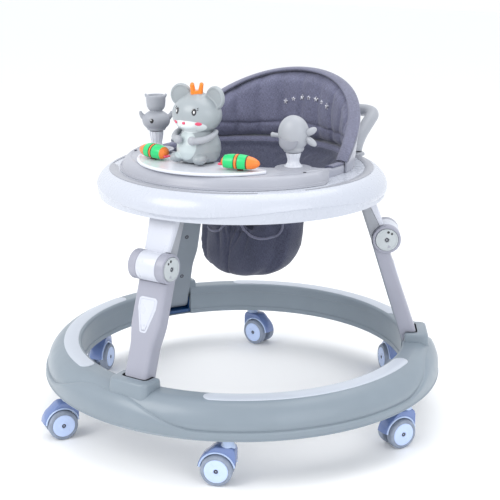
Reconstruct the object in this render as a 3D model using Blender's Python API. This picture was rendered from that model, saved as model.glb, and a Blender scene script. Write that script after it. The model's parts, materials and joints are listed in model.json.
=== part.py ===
"""Baby walker: a castored floor ring, three folding legs and a toy tray with a fabric seat.

Metres, +Z up, the floor at z = 0, and the front (where the child looks) towards -Y.
Blender 4.5: blender --background --python part.py, or run it from the Text Editor.
"""
import math

import bmesh
import bpy
from mathutils import Matrix, Vector

# ---------------------------------------------------------------- driving dimensions
GAP = 0.0003                      # clearance between pieces that touch

RING_OUTER = 0.345                # floor ring, at its bottom lip
RING_INNER = 0.282
RING_BOTTOM = 0.0770
RING_TOP = 0.1315
RING_STEPS = 48
INLAY_INNER = 0.2870
INLAY_OUTER = 0.3130
INLAY_HALF_ANGLE = 37.5
INLAY_DEPTH = 0.0018

LEG_ANGLES = (-90.0, 30.0, 150.0)   # front leg first, counter-clockwise from above
KNEE = Vector((0.248, 0.313))       # knee pin: radius from the centre, height
LEG_LEAN = math.radians(18.5)       # inward lean of a leg's centre line from upright
KNEE_OFFSET = 0.0145                # knee pin, outboard of the centre line
LOWER_LENGTH = 0.216                # base pivot to the knee, along the centre line
UPPER_LENGTH = 0.108                # knee to the tray pivot, along the centre line
LEG_HALF_THICK = 0.0120
BARREL_RADIUS = 0.024
BARREL_HALF = 0.0190                # the upper leg's share of the barrel
BARREL_STEPS = 20
CHEEK_OUTER = 0.0340                # the lower leg's cheeks end here on both sides
CHEEK_RECESS = 0.0050               # depth of the round seats for the pin's cap and the button
BUTTON_RADIUS = 0.0224
BUTTON_TRAVEL = 0.0025
KNEE_PIN_RADIUS = 0.0050
BASE_PIN_RADIUS = 0.0040
EYE_RADIUS = 0.0115                 # top of the upper leg, round the tray pivot
EYE_BORE = 0.0092                   # wide, so the tray can drift on its stubs as the legs fold
STUB_RADIUS = 0.0022

CASTER_RADIUS = 0.3228              # swivel axes, from the centre
CASTER_TRAIL = 0.016
CASTER_ANGLES = (-60.0, 0.0, 60.0, 120.0, 180.0, 240.0)
CASTER_HEADINGS = (203.5, 242.5, 136.0, 353.5, 289.5, 238.5)   # stem to axle, from above
WHEEL_RADIUS = 0.025
WHEEL_WIDTH = 0.0140
WHEEL_STEPS = 16
AXLE_RADIUS = 0.0025
STEM_RADIUS = 0.0052

TRAY_TOP = 0.4325
TRAY_SKIN = 0.0030
TRAY_STEPS = 48
SEAT_CENTRE = Vector((0.0, 0.020))
SEAT_RADIUS = 0.178                 # outside of the seat ring
BELLY_EDGE = -0.032                 # where the seat opening's straight front shoulders lie
BELLY_HALF = 0.135
BELLY_DEPTH = 0.056
PANEL_RADIUS = 0.208
PANEL_TOP = 0.4520
PLATE_TOP = 0.4570
POST_LEFT = Vector((-0.147, -0.046))
POST_RIGHT = Vector((0.136, -0.055))
CARROT_PLACE = Vector((0.086, -0.133))
CARROT_TRAVEL = 0.0025
BACK_CENTRE_Y = 0.020
BACK_HEIGHT = 0.131
BACK_FLARE = 0.115                   # outward lean of the backrest
MOUSE_PLACE = Vector((-0.009, -0.112))
LEFT_TOY_LOW = 0.4850               # where the spinning toys' flat undersides clear their posts
RIGHT_TOY_LOW = 0.4780
TOY_PIN_RADIUS = 0.0030
PAST = 0.060                        # half length of a tool that cuts right through a leg

GREY_BLUE = (0.36, 0.42, 0.47)
SOFT_GREY = (0.50, 0.50, 0.56)
PALE_GREY = (0.62, 0.65, 0.68)
WHITE = (0.82, 0.84, 0.90)
LAVENDER = (0.48, 0.55, 0.82)
PALE_BLUE = (0.66, 0.74, 0.95)
DARK_BLUE = (0.008, 0.07, 0.20)
DENIM = (0.10, 0.10, 0.14)
ORANGE = (0.95, 0.22, 0.04)


# ---------------------------------------------------------------- scene and materials
def clear_scene():
    for item in list(bpy.data.objects):
        bpy.data.objects.remove(item, do_unlink=True)


def material(name, colour, roughness=0.45, metallic=0.0):
    made = bpy.data.materials.new(name)
    made.use_nodes = True
    shader = made.node_tree.nodes["Principled BSDF"]
    shader.inputs["Base Color"].default_value = (*colour, 1.0)
    shader.inputs["Roughness"].default_value = roughness
    shader.inputs["Metallic"].default_value = metallic
    return made


def frame_empty(name, angle_deg):
    """An empty at the centre whose +X points outwards at the given angle."""
    empty = bpy.data.objects.new(name, None)
    empty.rotation_euler = (0.0, 0.0, math.radians(angle_deg))
    bpy.context.collection.objects.link(empty)
    return empty


def finish(thing, name, look, parent=None, pivot=(0.0, 0.0, 0.0), smooth_deg=32.0):
    """Name a built solid, colour it, put its origin on its pivot and hang it on its parent."""
    thing.name = name
    thing.data.name = name
    thing.data.materials.clear()
    thing.data.materials.append(material(name, *look))
    thing.data.transform(Matrix.Translation(-Vector(pivot)))
    thing.location = pivot
    thing.parent = parent
    thing.data.shade_smooth()
    thing.data.set_sharp_from_angle(angle=math.radians(smooth_deg))
    return thing


# ---------------------------------------------------------------- solids and Booleans
def loft(loops, closed=False):
    """A solid through loops of equally many points; the end loops are capped unless closed."""
    shape = bmesh.new()
    rows = [[shape.verts.new(point) for point in loop] for loop in loops]
    count = len(rows[0])
    pairs = list(zip(rows, rows[1:]))
    if closed:
        pairs.append((rows[-1], rows[0]))
    else:
        shape.faces.new(rows[0])
        shape.faces.new(rows[-1])
    for low, high in pairs:
        for i in range(count):
            j = (i + 1) % count
            shape.faces.new((low[i], low[j], high[j], high[i]))
    bmesh.ops.recalc_face_normals(shape, faces=shape.faces)
    data = bpy.data.meshes.new("solid")
    shape.to_mesh(data)
    shape.free()
    thing = bpy.data.objects.new("solid", data)
    bpy.context.collection.objects.link(thing)
    return thing


def boolean(target, tool, operation):
    """Join or cut with the exact solver, keep the result and drop the tool."""
    step = target.modifiers.new("step", "BOOLEAN")
    step.operation = operation
    step.object = tool
    bpy.context.view_layer.update()
    graph = bpy.context.evaluated_depsgraph_get()
    result = bpy.data.meshes.new_from_object(target.evaluated_get(graph))
    target.modifiers.clear()
    target.data = result
    bpy.data.objects.remove(tool, do_unlink=True)
    return target


def union(target, *tools):
    for tool in tools:
        boolean(target, tool, "UNION")
    return target


def cut(target, *tools):
    for tool in tools:
        boolean(target, tool, "DIFFERENCE")
    return target


def moved(thing, matrix):
    thing.data.transform(matrix)
    return thing


def turned(profile, steps):
    """A closed (radius, height) profile turned all the way round the Z axis."""
    loops = []
    for i in range(steps):
        angle = 2 * math.pi * i / steps
        loops.append([(r * math.cos(angle), r * math.sin(angle), z) for r, z in profile])
    return loft(loops, closed=True)


def stack(profile, steps, phase=0.0):
    """A solid of stacked circles: (radius, height) from the bottom to the top."""
    loops = []
    for radius, height in profile:
        loops.append([
            (radius * math.cos(phase + 2 * math.pi * i / steps),
             radius * math.sin(phase + 2 * math.pi * i / steps), height)
            for i in range(steps)])
    return loft(loops)


def stack_at(profile, place, steps=12):
    return moved(stack(profile, steps), Matrix.Translation((place[0], place[1], 0.0)))


def ball(radii, centre, steps=12, rings=6):
    """An ellipsoid of stacked circles with small flat poles."""
    profile = []
    for i in range(rings + 1):
        angle = -0.46 * math.pi + 0.92 * math.pi * i / rings
        profile.append((math.cos(angle), math.sin(angle)))
    thing = stack(profile, steps)
    moved(thing, Matrix.Diagonal((*radii, 1.0)))
    return moved(thing, Matrix.Translation(centre))


def across(thing, radius, height):
    """Lay a solid built on Z along the leg's tangent (+Y), through (radius, height)."""
    return moved(thing, Matrix.Translation((radius, 0.0, height)) @ Matrix.Rotation(
        math.radians(-90.0), 4, "X"))


def rod(radius, low, high, centre, steps=16):
    """A cylinder along the tangent, from low to high, through a (radius, height) point."""
    return across(stack([(radius, low), (radius, high)], steps), centre[0], centre[1])


def prism(outline, low, high):
    """A radial-plane (radius, height) outline given a width along the tangent."""
    return loft([[(r, low, z) for r, z in outline], [(r, high, z) for r, z in outline]])


def slab(outline, low, high):
    """A plan (x, y) outline given a height."""
    return loft([[(x, y, low) for x, y in outline], [(x, y, high) for x, y in outline]])


def arc(centre, radius, start_deg, end_deg, steps):
    points = []
    for i in range(steps + 1):
        angle = math.radians(start_deg + (end_deg - start_deg) * i / steps)
        points.append((centre[0] + radius * math.cos(angle),
                       centre[1] + radius * math.sin(angle)))
    return points


def rounded_rectangle(half_x, half_y, corner, steps=1):
    points = []
    for sign_x, sign_y, start in ((1, 1, 0), (-1, 1, 90), (-1, -1, 180), (1, -1, 270)):
        centre = (sign_x * (half_x - corner), sign_y * (half_y - corner))
        points += arc(centre, corner, start, start + 90, steps)
    return points


# ---------------------------------------------------------------- leg geometry
ALONG = Vector((-math.sin(LEG_LEAN), math.cos(LEG_LEAN)))     # up the leg
OUTWARD = Vector((math.cos(LEG_LEAN), math.sin(LEG_LEAN)))    # across it, away from the centre
KNEE_FOOT = KNEE - OUTWARD * KNEE_OFFSET
BASE_PIN = KNEE_FOOT - ALONG * LOWER_LENGTH
TRAY_PIN = KNEE_FOOT + ALONG * UPPER_LENGTH


def pivot(point):
    return (point[0], 0.0, point[1])


def leg_point(along, outward, tangent=0.0):
    """A point at a distance up the leg from the knee, outward from its centre line."""
    place = KNEE_FOOT + ALONG * along + OUTWARD * outward
    return (place[0], tangent, place[1])


def leg_loft(sections):
    """Rounded rectangles (along, half width, inner face, outer face, corner) up the leg."""
    loops = []
    for along, half_width, inner, outer, corner in sections:
        middle = (inner + outer) / 2
        shape = rounded_rectangle(half_width, (outer - inner) / 2, corner)
        loops.append([leg_point(along, middle + y, x) for x, y in shape])
    return loft(loops)


def lower_leg(number, frame):
    """Lavender-grey leg: a pivot eye below, two cheeks that hold the knee pin above."""
    body = leg_loft([
        (-LOWER_LENGTH, 0.0215, -0.0150, 0.0150, 0.006),
        (-0.128, 0.0225, -0.0140, 0.0140, 0.006),
        (-0.096, 0.0285, -0.0130, 0.0130, 0.006),
        (-GAP / 2, 0.0285, -LEG_HALF_THICK, LEG_HALF_THICK, 0.004),
    ])
    union(body, rod(0.0150, -0.0215, 0.0215, BASE_PIN))
    for side in (-1, 1):
        inner, outer = sorted((side * (BARREL_HALF - 0.001), side * CHEEK_OUTER))
        union(body, rod(BARREL_RADIUS, inner, outer, KNEE, BARREL_STEPS))
    cut(body, rod(BARREL_RADIUS + GAP, -BARREL_HALF - GAP, BARREL_HALF + GAP, KNEE, BARREL_STEPS))
    cut(body, rod(KNEE_PIN_RADIUS + GAP, -PAST, PAST, KNEE, 12))
    cut(body, rod(BASE_PIN_RADIUS + GAP, -PAST, PAST, BASE_PIN, 12))
    for side in (-1, 1):
        inner, outer = sorted((side * (CHEEK_OUTER - CHEEK_RECESS), side * PAST))
        cut(body, rod(BUTTON_RADIUS + 0.0004, inner, outer, KNEE, BARREL_STEPS))
    # The inlay's shallow seat in the outer face.
    cut(body, inlay_solid(GAP, 0.004))
    return finish(body, f"lower_leg_{number}", (SOFT_GREY, 0.42), frame, pivot(BASE_PIN))


def inlay_solid(grow, proud):
    """Keyhole-like plate on the lower leg's outer face, wide at the top."""
    top, bottom = -0.044 + grow, -0.102 - grow
    wide, narrow = 0.0185 + grow, 0.0062 + grow
    outline = [(-wide + 0.004, top), (wide - 0.004, top), (wide, top - 0.005),
               (wide - 0.001, top - 0.016), (narrow, bottom + 0.004), (narrow - 0.003, bottom),
               (0.003 - narrow, bottom), (-narrow, bottom + 0.004), (0.001 - wide, top - 0.016),
               (-wide, top - 0.005)]
    return loft([[leg_point(s, 0.0105 - grow, t) for t, s in outline],
                 [leg_point(s, 0.0138 + proud, t) for t, s in outline]])


def leg_inlay(number, frame):
    return finish(inlay_solid(0.0, 0.0), f"leg_inlay_{number}", (WHITE, 0.30), frame)


def upper_leg_blank(inner, outer):
    """The upper leg between two depths, from the knee line to the eye at the tray pivot."""
    high = math.degrees(math.asin(min(outer / EYE_RADIUS, 1.0)))
    low = math.degrees(math.asin(max(inner / EYE_RADIUS, -1.0)))
    profile = [(GAP / 2, inner), (GAP / 2, outer)]
    profile += [(UPPER_LENGTH + along, outward)
                for along, outward in arc((0, 0), EYE_RADIUS, high, low, 6)]
    loops = []
    for side in (-1, 1):
        loops.append([leg_point(along, outward, side * (0.0220 + 0.0040 * along / UPPER_LENGTH))
                      for along, outward in profile])
    return loft(loops)


def upper_leg_cover(number, frame):
    """White outer shell, with the middle of the knee barrel."""
    body = upper_leg_blank(0.0030, 0.0112)
    barrel = rod(BARREL_RADIUS, -BARREL_HALF, BARREL_HALF, KNEE, BARREL_STEPS)
    for side in (-1, 1):
        inner, outer = sorted((side * (BARREL_HALF - 0.0002), side * PAST))
        cut(body, rod(BARREL_RADIUS + GAP, inner, outer, KNEE, BARREL_STEPS))
    union(body, barrel)
    cut(body, rod(KNEE_PIN_RADIUS + GAP, -PAST, PAST, KNEE, 12))
    cut(body, rod(EYE_BORE, -PAST, PAST, TRAY_PIN, 12))
    return finish(body, f"upper_leg_cover_{number}", (WHITE, 0.32), frame, pivot(KNEE))


def upper_leg_back(number, frame):
    """Grey inner half of the upper leg."""
    body = upper_leg_blank(-0.0115, 0.0030 - GAP)
    cut(body, rod(BARREL_RADIUS + GAP, -PAST, PAST, KNEE, BARREL_STEPS))
    cut(body, rod(EYE_BORE, -PAST, PAST, TRAY_PIN, 12))
    return finish(body, f"upper_leg_back_{number}", (SOFT_GREY, 0.45), frame, pivot(KNEE))


def knee_pin(number, frame):
    """Pin through the knee barrel, with a round cap on the +tangent end."""
    seat = CHEEK_OUTER - CHEEK_RECESS + GAP
    body = stack([(KNEE_PIN_RADIUS, -0.0285), (KNEE_PIN_RADIUS, seat), (BUTTON_RADIUS, seat),
                  (BUTTON_RADIUS, 0.0350), (BUTTON_RADIUS - 0.0015, 0.0362)], BARREL_STEPS)
    across(body, KNEE[0], KNEE[1])
    return finish(body, f"knee_pin_{number}", (PALE_GREY, 0.35), frame, pivot(KNEE))


def knee_button(number, frame):
    """Round release button on the other end of the barrel."""
    body = stack([(BUTTON_RADIUS - 0.0015, -0.0362), (BUTTON_RADIUS, -0.0350),
                  (BUTTON_RADIUS, CHEEK_RECESS - CHEEK_OUTER - BUTTON_TRAVEL - GAP)], BARREL_STEPS)
    across(body, KNEE[0], KNEE[1])
    return finish(body, f"knee_button_{number}", (PALE_GREY, 0.35), frame, pivot(KNEE))


def build_leg(number, angle):
    frame = frame_empty(f"leg_frame_{number}", angle)
    lower_leg(number, frame)
    leg_inlay(number, frame)
    upper_leg_cover(number, frame)
    upper_leg_back(number, frame)
    knee_pin(number, frame)
    knee_button(number, frame)
    pivot_cradle(number, frame)


# ---------------------------------------------------------------- floor ring
CRADLE_HALF = 0.0245               # half width of the slot that the leg folds through
SLOT_OUTER = BASE_PIN[0] + 0.0160


def pivot_cradle(number, frame):
    """Dark-blue bracket in the ring: a floor, two cheeks and the leg's pivot pin."""
    low, high = RING_BOTTOM + 0.0033, 0.0875
    body = prism([(0.2856, low), (SLOT_OUTER - GAP, low), (SLOT_OUTER - GAP, high),
                  (0.2856, high - 0.001)], -CRADLE_HALF + GAP, CRADLE_HALF - GAP)
    cheek = [(0.2905, high - 0.004), (SLOT_OUTER - GAP, high - 0.004),
             (SLOT_OUTER - GAP, 0.1080), (0.3120, 0.1150), (0.2950, 0.1150), (0.2905, 0.1080)]
    for side in (-1, 1):
        inner, outer = sorted((side * 0.0222, side * (CRADLE_HALF - GAP)))
        union(body, prism(cheek, inner, outer))
    union(body, rod(BASE_PIN_RADIUS, -0.0235, 0.0235, BASE_PIN, 12))
    return finish(body, f"pivot_cradle_{number}", (DARK_BLUE, 0.35), frame)


def ring_profile():
    """The ring's moulded channel: outer skin, then back along the inside of the skin."""
    outer = [(RING_OUTER, RING_BOTTOM), (0.3460, 0.0900), (0.3415, 0.1045), (0.3335, 0.1170),
             (0.3225, 0.1263), (0.3135, 0.1305), (0.3060, RING_TOP), (0.2885, RING_TOP),
             (0.2835, 0.1285), (RING_INNER, 0.1240), (RING_INNER, 0.0840)]
    inner = [(0.2850, 0.0840), (0.2850, 0.1235), (0.2885, 0.1285), (0.3055, 0.1285),
             (0.3205, 0.1235), (0.3315, 0.1135), (0.3390, 0.1020), (0.3430, 0.0890),
             (0.3420, RING_BOTTOM)]
    return outer + inner


def collar_block():
    """Solid block round a leg's slot, whose top rises towards the outside."""
    loops = []
    for level, inner, outer, half in ((0.0, 0.2835, 0.3290, 0.0400), (0.84, 0.2840, 0.3270, 0.0385),
                                      (1.0, 0.2860, 0.3245, 0.0365)):
        shape = rounded_rectangle((outer - inner) / 2, half, 0.006)
        middle = (outer + inner) / 2
        loop = []
        for x, y in shape:
            top = 0.1450 + 0.25 * x
            loop.append((middle + x, y, 0.0860 + (top - 0.0860) * level))
        loops.append(loop)
    return loft(loops)


def slot_cutter():
    """What the leg sweeps as it folds inwards, open to the middle of the ring."""
    lean = math.tan(LEG_LEAN)
    bend = BASE_PIN[1] + 0.004
    outline = [(0.2600, 0.0700), (SLOT_OUTER, 0.0700), (SLOT_OUTER, bend),
               (SLOT_OUTER - (0.1750 - bend) * lean, 0.1750), (0.2600, 0.1750)]
    return prism(outline, -CRADLE_HALF, CRADLE_HALF)


def base_ring():
    body = turned(ring_profile(), RING_STEPS)
    for angle in LEG_ANGLES:
        turn = Matrix.Rotation(math.radians(angle), 4, "Z")
        union(body, moved(collar_block(), turn))
        cut(body, moved(slot_cutter(), turn))
    for angle in CASTER_ANGLES:
        turn = Matrix.Rotation(math.radians(angle), 4, "Z") @ Matrix.Translation((CASTER_RADIUS, 0, 0))
        union(body, moved(stack([(0.0080, 0.0806), (0.0080, 0.1165)], 8, 0.2), turn))
        cut(body, moved(stack([(0.0058, 0.0700), (0.0058, 0.1055)], 8, 0.2), turn))
    for i in range(3):
        cut(body, inlay_sector(i, GAP, RING_TOP - INLAY_DEPTH, RING_TOP + 0.01))
    return finish(body, "base_ring", (GREY_BLUE, 0.40))


def inlay_sector(i, grow, low, high):
    """A third of the ring's white band, between two legs, with a facet for each of the ring's."""
    inner, outer = INLAY_INNER - grow, INLAY_OUTER + grow
    facet = 360.0 / RING_STEPS
    count = round(2 * INLAY_HALF_ANGLE / facet)
    start = -30.0 + 120.0 * i - INLAY_HALF_ANGLE
    ease = math.degrees((grow + 0.0005) / INLAY_OUTER)
    angles = [start - ease] + [start + facet * k for k in range(1, count)] + [start + facet * count + ease]
    loops = []
    for angle in map(math.radians, angles):
        loops.append([(r * math.cos(angle), r * math.sin(angle), z)
                      for r, z in ((inner, low), (outer, low), (outer, high), (inner, high))])
    return loft(loops)


def base_inlays():
    for i in range(3):
        solid = inlay_sector(i, 0.0, RING_TOP - INLAY_DEPTH + GAP, RING_TOP + 0.0008)
        finish(solid, f"base_inlay_{i + 1}", (WHITE, 0.28))


def base_under_cover():
    """Flat cover screwed under the ring, with holes for the caster stems."""
    low = RING_BOTTOM + 0.0002
    profile = [(RING_INNER, low), (0.3415, low), (0.3415, low + 0.0025), (0.2850, low + 0.0025),
               (0.2850, 0.0837), (RING_INNER, 0.0837)]
    body = turned(profile, RING_STEPS)
    for angle in CASTER_ANGLES:
        turn = Matrix.Rotation(math.radians(angle), 4, "Z") @ Matrix.Translation((CASTER_RADIUS, 0, 0))
        cut(body, moved(stack([(0.0070, 0.0700), (0.0070, 0.0900)], 8, 0.13), turn))
    for angle in LEG_ANGLES:
        turn = Matrix.Rotation(math.radians(angle), 4, "Z")
        block = prism([(0.2700, 0.0807), (0.2880, 0.0807), (0.2880, 0.0900), (0.2700, 0.0900)],
                      -CRADLE_HALF - 0.0007, CRADLE_HALF + 0.0007)
        cut(body, moved(block, turn))
    return finish(body, "base_under_cover", (GREY_BLUE, 0.5))


# ---------------------------------------------------------------- casters
def caster_hood(number, frame):
    """Mudguard over both wheels, web with the axle, neck and stem; the stem is at x = 0."""
    inside = WHEEL_RADIUS + 0.0014
    axle = (CASTER_TRAIL, WHEEL_RADIUS)
    stem_side = CASTER_TRAIL - 0.0305
    guard = arc(axle, inside, 4, 168, 9)
    guard += [(stem_side, axle[1] + 0.006), (stem_side - 0.001, axle[1] + 0.014),
              (stem_side + 0.001, axle[1] + 0.034), (stem_side + 0.006, axle[1] + 0.0405)]
    guard += [(0.020, axle[1] + 0.0405)]
    guard += arc(axle, inside + 0.0027, 66, 4, 4)
    body = prism(guard, -0.0135, 0.0135)
    web = [(0.0, 0.0520), (axle[0] - 0.009, 0.0180), (axle[0], 0.0160), (axle[0] + 0.009, 0.0180),
           (axle[0] + 0.012, 0.0300), (axle[0] + 0.010, 0.0520)]
    union(body, prism(web, -0.0030, 0.0030))
    union(body, rod(AXLE_RADIUS, -0.0165, 0.0165, axle, 8))
    neck = stack([(0.0110, 0.0600), (0.0090, 0.0766), (STEM_RADIUS, 0.0767), (STEM_RADIUS, 0.1000)], 10)
    union(body, neck)
    return finish(body, f"caster_hood_{number}", (LAVENDER, 0.35), frame)


def caster_wheel(number, side, frame):
    """One of the twin wheels, resting on a flat of its tread."""
    corner = WHEEL_RADIUS / math.cos(math.pi / WHEEL_STEPS)
    bore = AXLE_RADIUS + 0.0002
    profile = [(bore, 0.0), (corner, 0.0), (corner, WHEEL_WIDTH - 0.0015),
               (corner - 0.0015, WHEEL_WIDTH), (bore, WHEEL_WIDTH)]
    body = turned(profile, WHEEL_STEPS)
    moved(body, Matrix.Rotation(math.pi / WHEEL_STEPS, 4, "Z"))
    moved(body, Matrix.Translation((0.0, 0.0, 0.0034)))
    if side < 0:
        moved(body, Matrix.Rotation(math.radians(180.0), 4, "X"))
    across(body, CASTER_TRAIL, WHEEL_RADIUS)
    letter = "a" if side > 0 else "b"
    return finish(body, f"caster_wheel_{number}_{letter}", (PALE_BLUE, 0.4), frame,
                  (CASTER_TRAIL, 0.0, WHEEL_RADIUS))


def build_caster(number, angle, heading):
    frame = frame_empty(f"caster_frame_{number}", heading)
    frame.location = (CASTER_RADIUS * math.cos(math.radians(angle)),
                      CASTER_RADIUS * math.sin(math.radians(angle)), 0.0)
    caster_hood(number, frame)
    caster_wheel(number, 1, frame)
    caster_wheel(number, -1, frame)


# ---------------------------------------------------------------- tray and seat
def seat_outline(inset, steps=24, front_steps=10):
    """The seat opening in plan: round at the back and sides, hollowed for the child in front."""
    radius = SEAT_RADIUS - inset
    edge = BELLY_EDGE + inset
    start = math.degrees(math.asin((edge - SEAT_CENTRE[1]) / radius))
    points = arc(SEAT_CENTRE, radius, start, 180.0 - start, steps)
    half = BELLY_HALF - inset
    for i in range(front_steps + 1):
        x = -half * math.cos(math.pi * i / front_steps)
        reach = 1.0 - abs(x / half) ** 3
        points.append((x, edge - BELLY_DEPTH * math.sqrt(max(reach, 0.0))))
    return points


def tray_shell():
    """White moulded tray: flat top, rounded skirt, and a pair of lugs for each leg."""
    profile = [(0.0650, TRAY_TOP), (0.2220, TRAY_TOP), (0.2290, 0.4310), (0.2355, 0.4258),
               (0.2412, 0.4180), (0.2460, 0.4095), (0.2475, 0.4030), (0.2465, 0.3955),
               (0.2435, 0.3880), (0.2405, 0.3880), (0.2444, 0.4030), (0.2385, 0.4163),
               (0.2280, 0.4275), (0.2215, TRAY_TOP - TRAY_SKIN), (0.0650, TRAY_TOP - TRAY_SKIN)]
    body = turned(profile, TRAY_STEPS)
    cut(body, slab(seat_outline(0.0105), 0.40, 0.50))
    for angle in LEG_ANGLES:
        turn = Matrix.Rotation(math.radians(angle), 4, "Z")
        for side in (-1, 1):
            inner, outer = sorted((side * 0.0302, side * 0.0342))
            shape = [(0.1890, TRAY_TOP - 0.001), (0.1890, 0.4100)]
            shape += arc((TRAY_PIN[0], TRAY_PIN[1]), 0.0110, 185, 355, 5)
            shape += [(0.2130, TRAY_TOP - 0.001)]
            lug = prism(shape, inner, outer)
            stub_low, stub_high = sorted((side * 0.0210, side * 0.0322))
            union(lug, rod(STUB_RADIUS, stub_low, stub_high, TRAY_PIN, 8))
            union(body, moved(lug, turn))
    return finish(body, "tray_shell", (WHITE, 0.30))


def seat_ring():
    """Light-grey frame that clamps the seat fabric to the tray."""
    low = TRAY_TOP + GAP
    levels = ((0.0, low), (0.0, 0.4430), (0.0025, 0.4465), (0.0095, 0.4465), (0.0120, 0.4430),
              (0.0120, low))
    loops = [[(x, y, z) for x, y in seat_outline(inset)] for inset, z in levels]
    return finish(loft(loops, closed=True), "seat_ring", (PALE_GREY, 0.4))


def panel_outline(radius):
    """Crescent round the front of the seat ring, ending beside it."""
    steps = 24
    opening = seat_outline(-0.0006, steps)
    corner = opening[0]
    points = arc((0.0, 0.0), radius, 343.0, 197.0, 24)
    points.append((-corner[0] - 0.006, corner[1] - 0.004))
    points += opening[steps:] + opening[:1]
    points.append((corner[0] + 0.006, corner[1] - 0.004))
    return points


def toy_panel():
    """Low wall, then a slope up to the flat top that carries the toys."""
    body = loft([[(x, y, z) for x, y in panel_outline(radius)]
                 for radius, z in ((PANEL_RADIUS, TRAY_TOP + GAP), (PANEL_RADIUS, 0.4385),
                                   (PANEL_RADIUS - 0.0130, PANEL_TOP))])
    return finish(body, "toy_panel", (SOFT_GREY, 0.4))


def toy_plate():
    """Boat-shaped white plate that carries the mouse and the two carrots."""
    half, front, back = 0.131, -0.200, -0.100
    y_end = -0.112
    sag_front, sag_back = y_end - front, back - y_end
    radius_front = (half ** 2 + sag_front ** 2) / (2 * sag_front)
    radius_back = (half ** 2 + sag_back ** 2) / (2 * sag_back)
    spread_front = math.degrees(math.asin(half / radius_front))
    spread_back = math.degrees(math.asin(half / radius_back))
    outline = arc((0.0, front + radius_front), radius_front, 270 - spread_front, 270 + spread_front, 20)
    outline += arc((0.0, back - radius_back), radius_back, 90 - spread_back, 90 + spread_back, 10)[1:-1]
    shrunk = [(x * 0.98, y_end - 0.01 + (y - y_end + 0.01) * 0.96) for x, y in outline]
    body = loft([[(x, y, PANEL_TOP + GAP) for x, y in outline],
                 [(x, y, PLATE_TOP - 0.002) for x, y in outline],
                 [(x, y, PLATE_TOP) for x, y in shrunk]])
    for side in (-1, 1):
        hole = stack([(0.0062, 0.44), (0.0062, 0.47)], 12)
        cut(body, moved(hole, Matrix.Translation((side * CARROT_PLACE[0], CARROT_PLACE[1], 0))))
    return finish(body, "toy_plate", (WHITE, 0.28))


def back_height(angle):
    """How far the backrest rises above the tray, round the seat from side to side."""
    start = math.radians(5.0)
    share = max(0.0, (angle - start) / (math.pi - 2 * start))
    return BACK_HEIGHT * max(0.0, math.sin(math.pi * min(share, 1.0))) ** 0.83


def back_band(inner, outer, low, over, least, steps=22, ends=6.5):
    """A curved wall round the back of the seat whose top follows the backrest's outline."""
    loops = []
    soft = min(0.003, (outer - inner) / 3)
    for i in range(steps + 1):
        angle = math.radians(ends + (180.0 - 2 * ends) * i / steps)
        height = max(back_height(angle) + over, least)
        flare = BACK_FLARE * height
        loop = []
        for radius, z in ((inner, low), (outer, low), (outer + flare, 0.445 + height - soft),
                          (outer + flare - soft, 0.445 + height),
                          (inner + flare + soft, 0.445 + height),
                          (inner + flare, 0.445 + height - soft)):
            loop.append((radius * math.cos(angle), BACK_CENTRE_Y + radius * math.sin(angle), z))
        loops.append(loop)
    return loft(loops)


def backrest_shell():
    body = back_band(0.1785, 0.1815, TRAY_TOP + GAP, -0.006, 0.0050)
    return finish(body, "backrest_shell", (PALE_GREY, 0.4))


def back_cushion():
    body = back_band(0.1580, 0.1781, 0.4470, 0.0, 0.0090)
    return finish(body, "back_cushion", (DENIM, 0.9))


def seat_pouch():
    """Fabric bucket under the tray, with a hole for each of the child's legs."""
    levels = ((1.00, 0.4460, 0.0), (0.99, 0.4300, 0.0), (0.80, 0.4050, 0.0), (0.61, 0.3700, 0.004),
              (0.56, 0.3300, 0.006), (0.56, 0.2900, 0.004), (0.51, 0.2650, -0.004), (0.40, 0.2500, -0.012),
              (0.24, 0.2430, -0.018))
    wall = 0.030                        # as a share of the opening
    rim = seat_outline(0.0130, 14, 6)
    outer = []
    inner = []
    for share, z, shift in levels:
        middle = SEAT_CENTRE[1] + shift
        outer.append([(x * share, middle + (y - SEAT_CENTRE[1]) * share, z) for x, y in rim])
        share -= wall
        inner.append([(x * share, middle + (y - SEAT_CENTRE[1]) * share, z + 0.0035 * (1.0 - share))
                      for x, y in rim])
    body = loft(list(reversed(outer)) + inner)
    for side in (-1, 1):
        hole = stack([(0.032, 0.0), (0.036, 0.14)], 14)
        moved(hole, Matrix.Rotation(math.radians(72.0), 4, "X"))
        moved(hole, Matrix.Translation((side * 0.046, -0.012, 0.3450)))
        cut(body, hole)
    return finish(body, "seat_pouch", (DENIM, 0.9))


def push_handle():
    """Grey tube bent into a wide loop behind the seat."""
    rise = [(0.118, 0.186, TRAY_TOP + GAP), (0.118, 0.187, 0.4470), (0.118, 0.200, 0.4640),
            (0.118, 0.232, 0.4850), (0.116, 0.250, 0.4935), (0.108, 0.262, 0.4975),
            (0.092, 0.267, 0.4990)]
    route = rise + [(-x, y, z) for x, y, z in reversed(rise)]
    data = bpy.data.curves.new("push_handle", "CURVE")
    data.dimensions = "3D"
    data.bevel_depth = 0.0120
    data.bevel_resolution = 3
    data.use_fill_caps = True
    line = data.splines.new("POLY")
    line.points.add(len(route) - 1)
    for point, place in zip(line.points, route):
        point.co = (*place, 1.0)
    tube = bpy.data.objects.new("push_handle", data)
    bpy.context.collection.objects.link(tube)
    bpy.context.view_layer.update()
    graph = bpy.context.evaluated_depsgraph_get()
    solid = bpy.data.objects.new("solid", bpy.data.meshes.new_from_object(tube.evaluated_get(graph)))
    bpy.context.collection.objects.link(solid)
    bpy.data.objects.remove(tube, do_unlink=True)
    trim = slab([(-0.2, 0.1), (0.2, 0.1), (0.2, 0.3), (-0.2, 0.3)], 0.40, TRAY_TOP + GAP)
    cut(solid, trim)
    return finish(solid, "push_handle", (SOFT_GREY, 0.4))


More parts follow.
